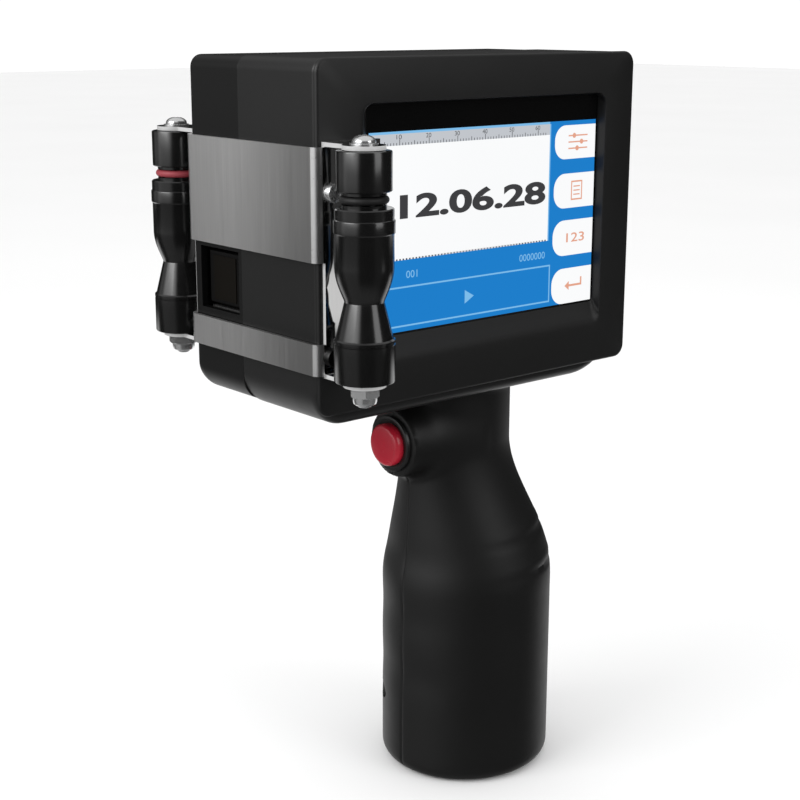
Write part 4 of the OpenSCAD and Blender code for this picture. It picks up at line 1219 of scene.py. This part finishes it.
# trigger: red cap in a black collar
trigger = {"radius": 7.0, "edge": 1.5, "front": -38.3, "back": -27.5, "crown": 0.35,
           "guide": (2, 2.5), "collarFront": -35.2, "collarBack": -33.7, "collarRadius": 9.25,
           "collarEdge": 0.5, "collarBore": 7.35, "collarSeat": (7.9, -34.9)}


def makeTrigger():
    s = trigger
    place = (0, 0, grip["triggerZ"])
    flat = s["radius"] - s["edge"]
    stem, depth = s["guide"]
    profile = [(flat * t, s["front"] + s["crown"] * t * t) for t in (0, 0.35, 0.7, 1.0)]
    profile += [(flat + s["edge"] * math.sin(a), s["front"] + s["crown"] + s["edge"]
                 - s["edge"] * math.cos(a)) for a in [math.radians(15 * i) for i in range(1, 7)]]
    profile += [(s["radius"], s["back"]), (stem, s["back"]), (stem, s["back"] + depth),
                (0, s["back"] + depth)]
    cap = turned("trigger_cap", profile, place, "x", redCap, 80)
    settle(dress(cap, 0.0, 40), "trigger_body", "button", "trigger_button")
    edge, outer, bore = s["collarEdge"], s["collarRadius"], s["collarBore"]
    front, back = s["collarFront"], s["collarBack"]
    seat, seatFront = s["collarSeat"]
    ring = [(seat, back), (seat, seatFront), (bore, seatFront), (bore, front + 0.1),
            (bore + 0.15, front), (outer - edge, front),
            (outer - 0.3 * edge, front + 0.3 * edge), (outer, front + edge), (outer, back)]
    collar = turned("trigger_bezel", ring, place, "x", partBlack, 72, closed=True)
    settle(dress(collar, 0.0, 40), "housing", "parts", "trigger_collar")


# return spring behind the cap
spring = {"radius": 4.2, "wire": 0.4, "turns": 4, "around": 24, "start": -27.05, "stop": -22.55,
          "keep": 0.6}


def makeSpring():
    s = spring
    last = s["turns"] * s["around"]
    rings = []
    for k in range(last + 1):
        turn = 2 * math.pi * k / s["around"]
        x = s["start"] + (s["stop"] - s["start"]) * k / last
        ring = []
        for i in range(8):
            a = 2 * math.pi * i / 8
            radius = s["radius"] + s["wire"] * math.cos(a)
            ring.append((x + s["wire"] * math.sin(a), radius * math.cos(turn),
                         grip["triggerZ"] + radius * math.sin(turn)))
        rings.append(ring)
    coil = skin("trigger_coil", rings, plainSteel)
    settle(dress(coil, 0.0, 60), "housing", "fastener", "trigger_spring")
    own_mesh(coil)


print("making the trigger")
makeTrigger()
makeSpring()


doorPattern = {"ribs": 5, "ribFoot": 181.5, "ribPitch": 4.4, "dropAt": (-10, 192),
               "dropWide": 5.2, "dropTall": 7.5, "sag": 1.5}


# drop mark: a ring of points run from the tip round the belly
def dropOutline():
    s = doorPattern
    x, z = s["dropAt"]
    outline = []
    for i in range(40):
        t = 2 * math.pi * i / 40
        pinch = (1 - math.cos(t)) / 2
        sag = s["sag"] * max(pinch - 0.5, 0)
        outline.append((x + s["dropWide"] * math.sin(t) * pinch ** 0.7,
                        z + s["dropTall"] * math.cos(t) - sag))
    return outline


# cartridge door with its knuckles, a ribbed finger lip and a moulded drop mark
def makeDoor():
    s = sideShell
    x0, x1 = doorLow[0], s["doorRear"]
    z0, z1 = doorLow[2], doorHigh[2]
    pivotX = s["pivot"][0]
    rings = []
    for d in (0.0, 0.12, 0.35, 0.7, wall):
        inset = edgeInset(0.7, d)
        rings.append(atY(sideY - d, roundedOutline(x0 + inset, x1 - inset, z0 + inset,
                                                   z1 - inset, [1.2] * 4, 5)))
    door = skin("door_panel", rings, sideBlack)
    # shallow field and a row of finger ribs
    field = skin("c", [atY(sideY - 0.5, roundedOutline(x0 + 9, x1 - 5, z0 + 6, z1 - 6, [3] * 4, 6)),
                       atY(sideY + 1, roundedOutline(x0 + 8.2, x1 - 4.2, z0 + 5.2, z1 - 5.2,
                                                     [3.4] * 4, 6))], sideBlack)
    carve(door, [field])
    parts = []
    for k in range(doorPattern["ribs"]):
        z = doorPattern["ribFoot"] + doorPattern["ribPitch"] * k
        parts.append(slabY("rib", roundedOutline(x0 + 0.5, x0 + 6.5, z, z + 1.6, [0.79] * 4, 5),
                           sideY - 0.3, sideY + 1.3, sideBlack))
    for low, high in s["doorKnuckles"]:
        parts.append(makeKnuckle(low, high, 1.05))
        parts.append(brick("k", (x1 - 1, sideY - 1.6, low + 0.1),
                           (pivotX - 1.2, sideY + 0.6, high - 0.1), sideBlack))
    parts.append(slabY("drop", dropOutline(), sideY - 0.55, sideY - 0.15, sideBlack))
    gather(door, parts)
    settle(dress(door, 0.0, 35), "door_body", "shell", "cartridge_door")


print("making the door")
makeDoor()


# CAD nodes whose shape is right keep it, with a fine edge and a finish of their own
keptNodes = {
    "lcd_panel": innerGrey, "lcd_bracket": plainSteel, "lcd_ribbon": amberFilm,
    "main_board": boardGreen, "board_components": partBlack, "buzzer": partBlack,
    "board_standoffs": bronze, "board_screws": brightZinc, "case_screws": blackOxide,
    "encoder_bushes": bronze, "encoder_magnet": ferrite, "encoder_sensor": boardGreen,
    "guide_bushes": bronze, "cartridge_carriage": innerGrey, "carriage_screws": brightZinc,
    "ink_cartridge": innerBlack, "nozzle_plate": nozzleFilm, "contact_board": boardGreen,
    "contact_pins": goldPlate, "contact_flex": amberFilm, "cartridge_clamp": innerGrey,
    "clamp_pin": plainSteel, "hinge_pins": plainSteel, "door_magnet": plainSteel,
    "catch_plate": plainSteel, "grip_screws": blackOxide, "neck_screws": brightZinc,
    "battery_cells": cellSleeve, "battery_holder": innerGrey, "battery_contacts": plainSteel,
    "battery_lead": wireRed, "trigger_switch": partBlack, "trigger_nut": blackOxide,
    "trigger_lead": wireRed, "switch_frame": partBlack, "power_rocker": redCap,
    "dc_jack": partBlack, "usb_port": plainSteel}
# width of the edge that rounds the corners of a kept node
edgedNodes = {"cartridge_carriage": 0.25, "ink_cartridge": 0.5, "cartridge_clamp": 0.3,
              "switch_frame": 0.3, "power_rocker": 0.25, "dc_jack": 0.15, "usb_port": 0.12,
              "case_screws": 0.12, "grip_screws": 0.12, "board_components": 0.12,
              "lcd_panel": 0.3, "battery_holder": 0.3}

for nodeName, finish in keptNodes.items():
    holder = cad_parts[nodeName]
    if not holder.material_slots:
        holder.data.materials.append(finish)
    for entry in holder.material_slots:
        entry.material = finish
    if nodeName in edgedNodes:
        join = holder.modifiers.new("weld", "WELD")
        join.merge_threshold = 0.002 * mm
        edge = holder.modifiers.new("bevel", "BEVEL")
        edge.width = edgedNodes[nodeName] * mm
        edge.segments = 2
        edge.limit_method = "ANGLE"
        edge.angle_limit = math.radians(35)
        edge.harden_normals = True
print("kept", len(keptNodes), "frame nodes")


# white surroundings; glossy rays see softboxes and dark flags by bearing, as round a still life.
# A panel is its bearing, half width and power, then how bright its foot and its top are.
# The card is small and hangs at one height; the glow lies low behind the grip.
sky = {"white": 1.32, "base": 0.02, "ground": 0.3, "above": 0.9,
       "panels": [(175, 32, 1.05, 0.28, 3.4), (131, 20, 0.50, 0.0, 1.0),
                  (290, 18, 0.12, 0.6, 1.0)],
       "card": (308.5, 7, -0.183, 0.022, 1.3), "glow": (50, 60, 1.5)}


# 1 within a band about a middle value, with soft edges
def band(paint, distance, half, soft):
    return paint.ramp(distance, half + soft, half - soft)


def paintSky():
    s = sky
    world = bpy.data.worlds.new("studio")
    bpy.context.scene.world = world
    paint = Paint(world)
    ray = paint.node("ShaderNodeLightPath")
    heading = paint.node("ShaderNodeSeparateXYZ", None,
                         {"Vector": paint.node("ShaderNodeTexCoord")[0]})
    height = heading[2]
    bearing = paint.maths("ARCTAN2", heading[1], heading[0]) * (180 / math.pi)

    # distance round the horizon from a bearing
    def away(centre):
        return paint.maths("ABSOLUTE", paint.maths("WRAP", bearing - centre, 180.0, -180.0))

    sunk = paint.ramp(height, -0.02, -0.22)
    risen = paint.ramp(height, 0.06, 0.28)
    glow = s["base"]
    for centre, half, power, foot, top in s["panels"]:
        fade = 1 + sunk * (foot - 1) + risen * (top - 1)
        glow = glow + band(paint, away(centre), half, 10) * fade * power
    centre, half, level, reach, power = s["card"]
    lift = paint.maths("ABSOLUTE", height - level)
    glow = glow + band(paint, away(centre), half, 2) * band(paint, lift, reach, 0.006) * power
    centre, half, power = s["glow"]
    deep = paint.ramp(height, -0.22, -0.34)
    glow = glow + band(paint, away(centre), half, 10) * deep * power
    up = paint.ramp(height, 0.35, 0.75)
    down = paint.ramp(height, -0.55, -0.85)
    glow = glow * (1 - up) + up * s["above"]
    glow = glow * (1 - down) + down * s["ground"]
    strength = ray[3] * glow + (1 - ray[3]) * s["white"]
    light = paint.node("ShaderNodeBackground", None, {"Strength": strength})[0]
    paint.node("ShaderNodeOutputWorld", None, {"Surface": light})


# studio: pale floor, soft light and the camera
studio = {"lens": 67.5, "place": (-0.3368, -0.3577, 0.2539), "yaw": 40.416, "pitch": -13.834,
          "roll": -0.09, "shift": (0.0042, -0.0201), "floor": 6000.0,
          "lamps": [("key", (-1.0, 0.1, 0.8), 0.7, 6), ("fill", (0.3, -1.1, 0.6), 0.6, 3)]}


def makeStudio():
    s = studio
    camera = bpy.data.cameras.new("camera")
    camera.lens = s["lens"]
    camera.sensor_width = 36
    camera.shift_x, camera.shift_y = s["shift"]
    camera.clip_start = 0.01
    holder = bpy.data.objects.new("camera", camera)
    bpy.context.scene.collection.objects.link(holder)
    holder.location = s["place"]
    holder.rotation_euler = (math.radians(90 + s["pitch"]), math.radians(s["roll"]),
                             math.radians(-s["yaw"]))
    bpy.context.scene.camera = holder
    floorPaint = newPaint("floor_paper")
    cloud = floorPaint.noise(3.0, 2.0, 0.5)
    shade = floorPaint.blendColour(cloud, grey(0.86), grey(0.9))
    paper = floorPaint.finish({"Base Color": shade, "Roughness": 0.9,
                               "Specular IOR Level": 0.1})
    reach = s["floor"]
    floor = newPiece("floor", [(-reach, -reach, 0), (reach, -reach, 0), (reach, reach, 0),
                               (-reach, reach, 0)], [(0, 1, 2, 3)], paper)
    floor.visible_glossy = False
    paintSky()
    bpy.context.scene.view_settings.view_transform = "Standard"


# square lamp aimed at the middle of the object
def softLight(name, place, size, power):
    light = bpy.data.lights.new(name, "AREA")
    light.shape = "RECTANGLE"
    light.size = light.size_y = size
    light.energy = power
    holder = bpy.data.objects.new(name, light)
    bpy.context.scene.collection.objects.link(holder)
    holder.location = place
    aim = Vector((0, 0, 0.15)) - Vector(place)
    holder.rotation_euler = aim.to_track_quat("-Z", "Y").to_euler()


makeStudio()
for lamp in studio["lamps"]:
    softLight(*lamp)
print("studio ready")
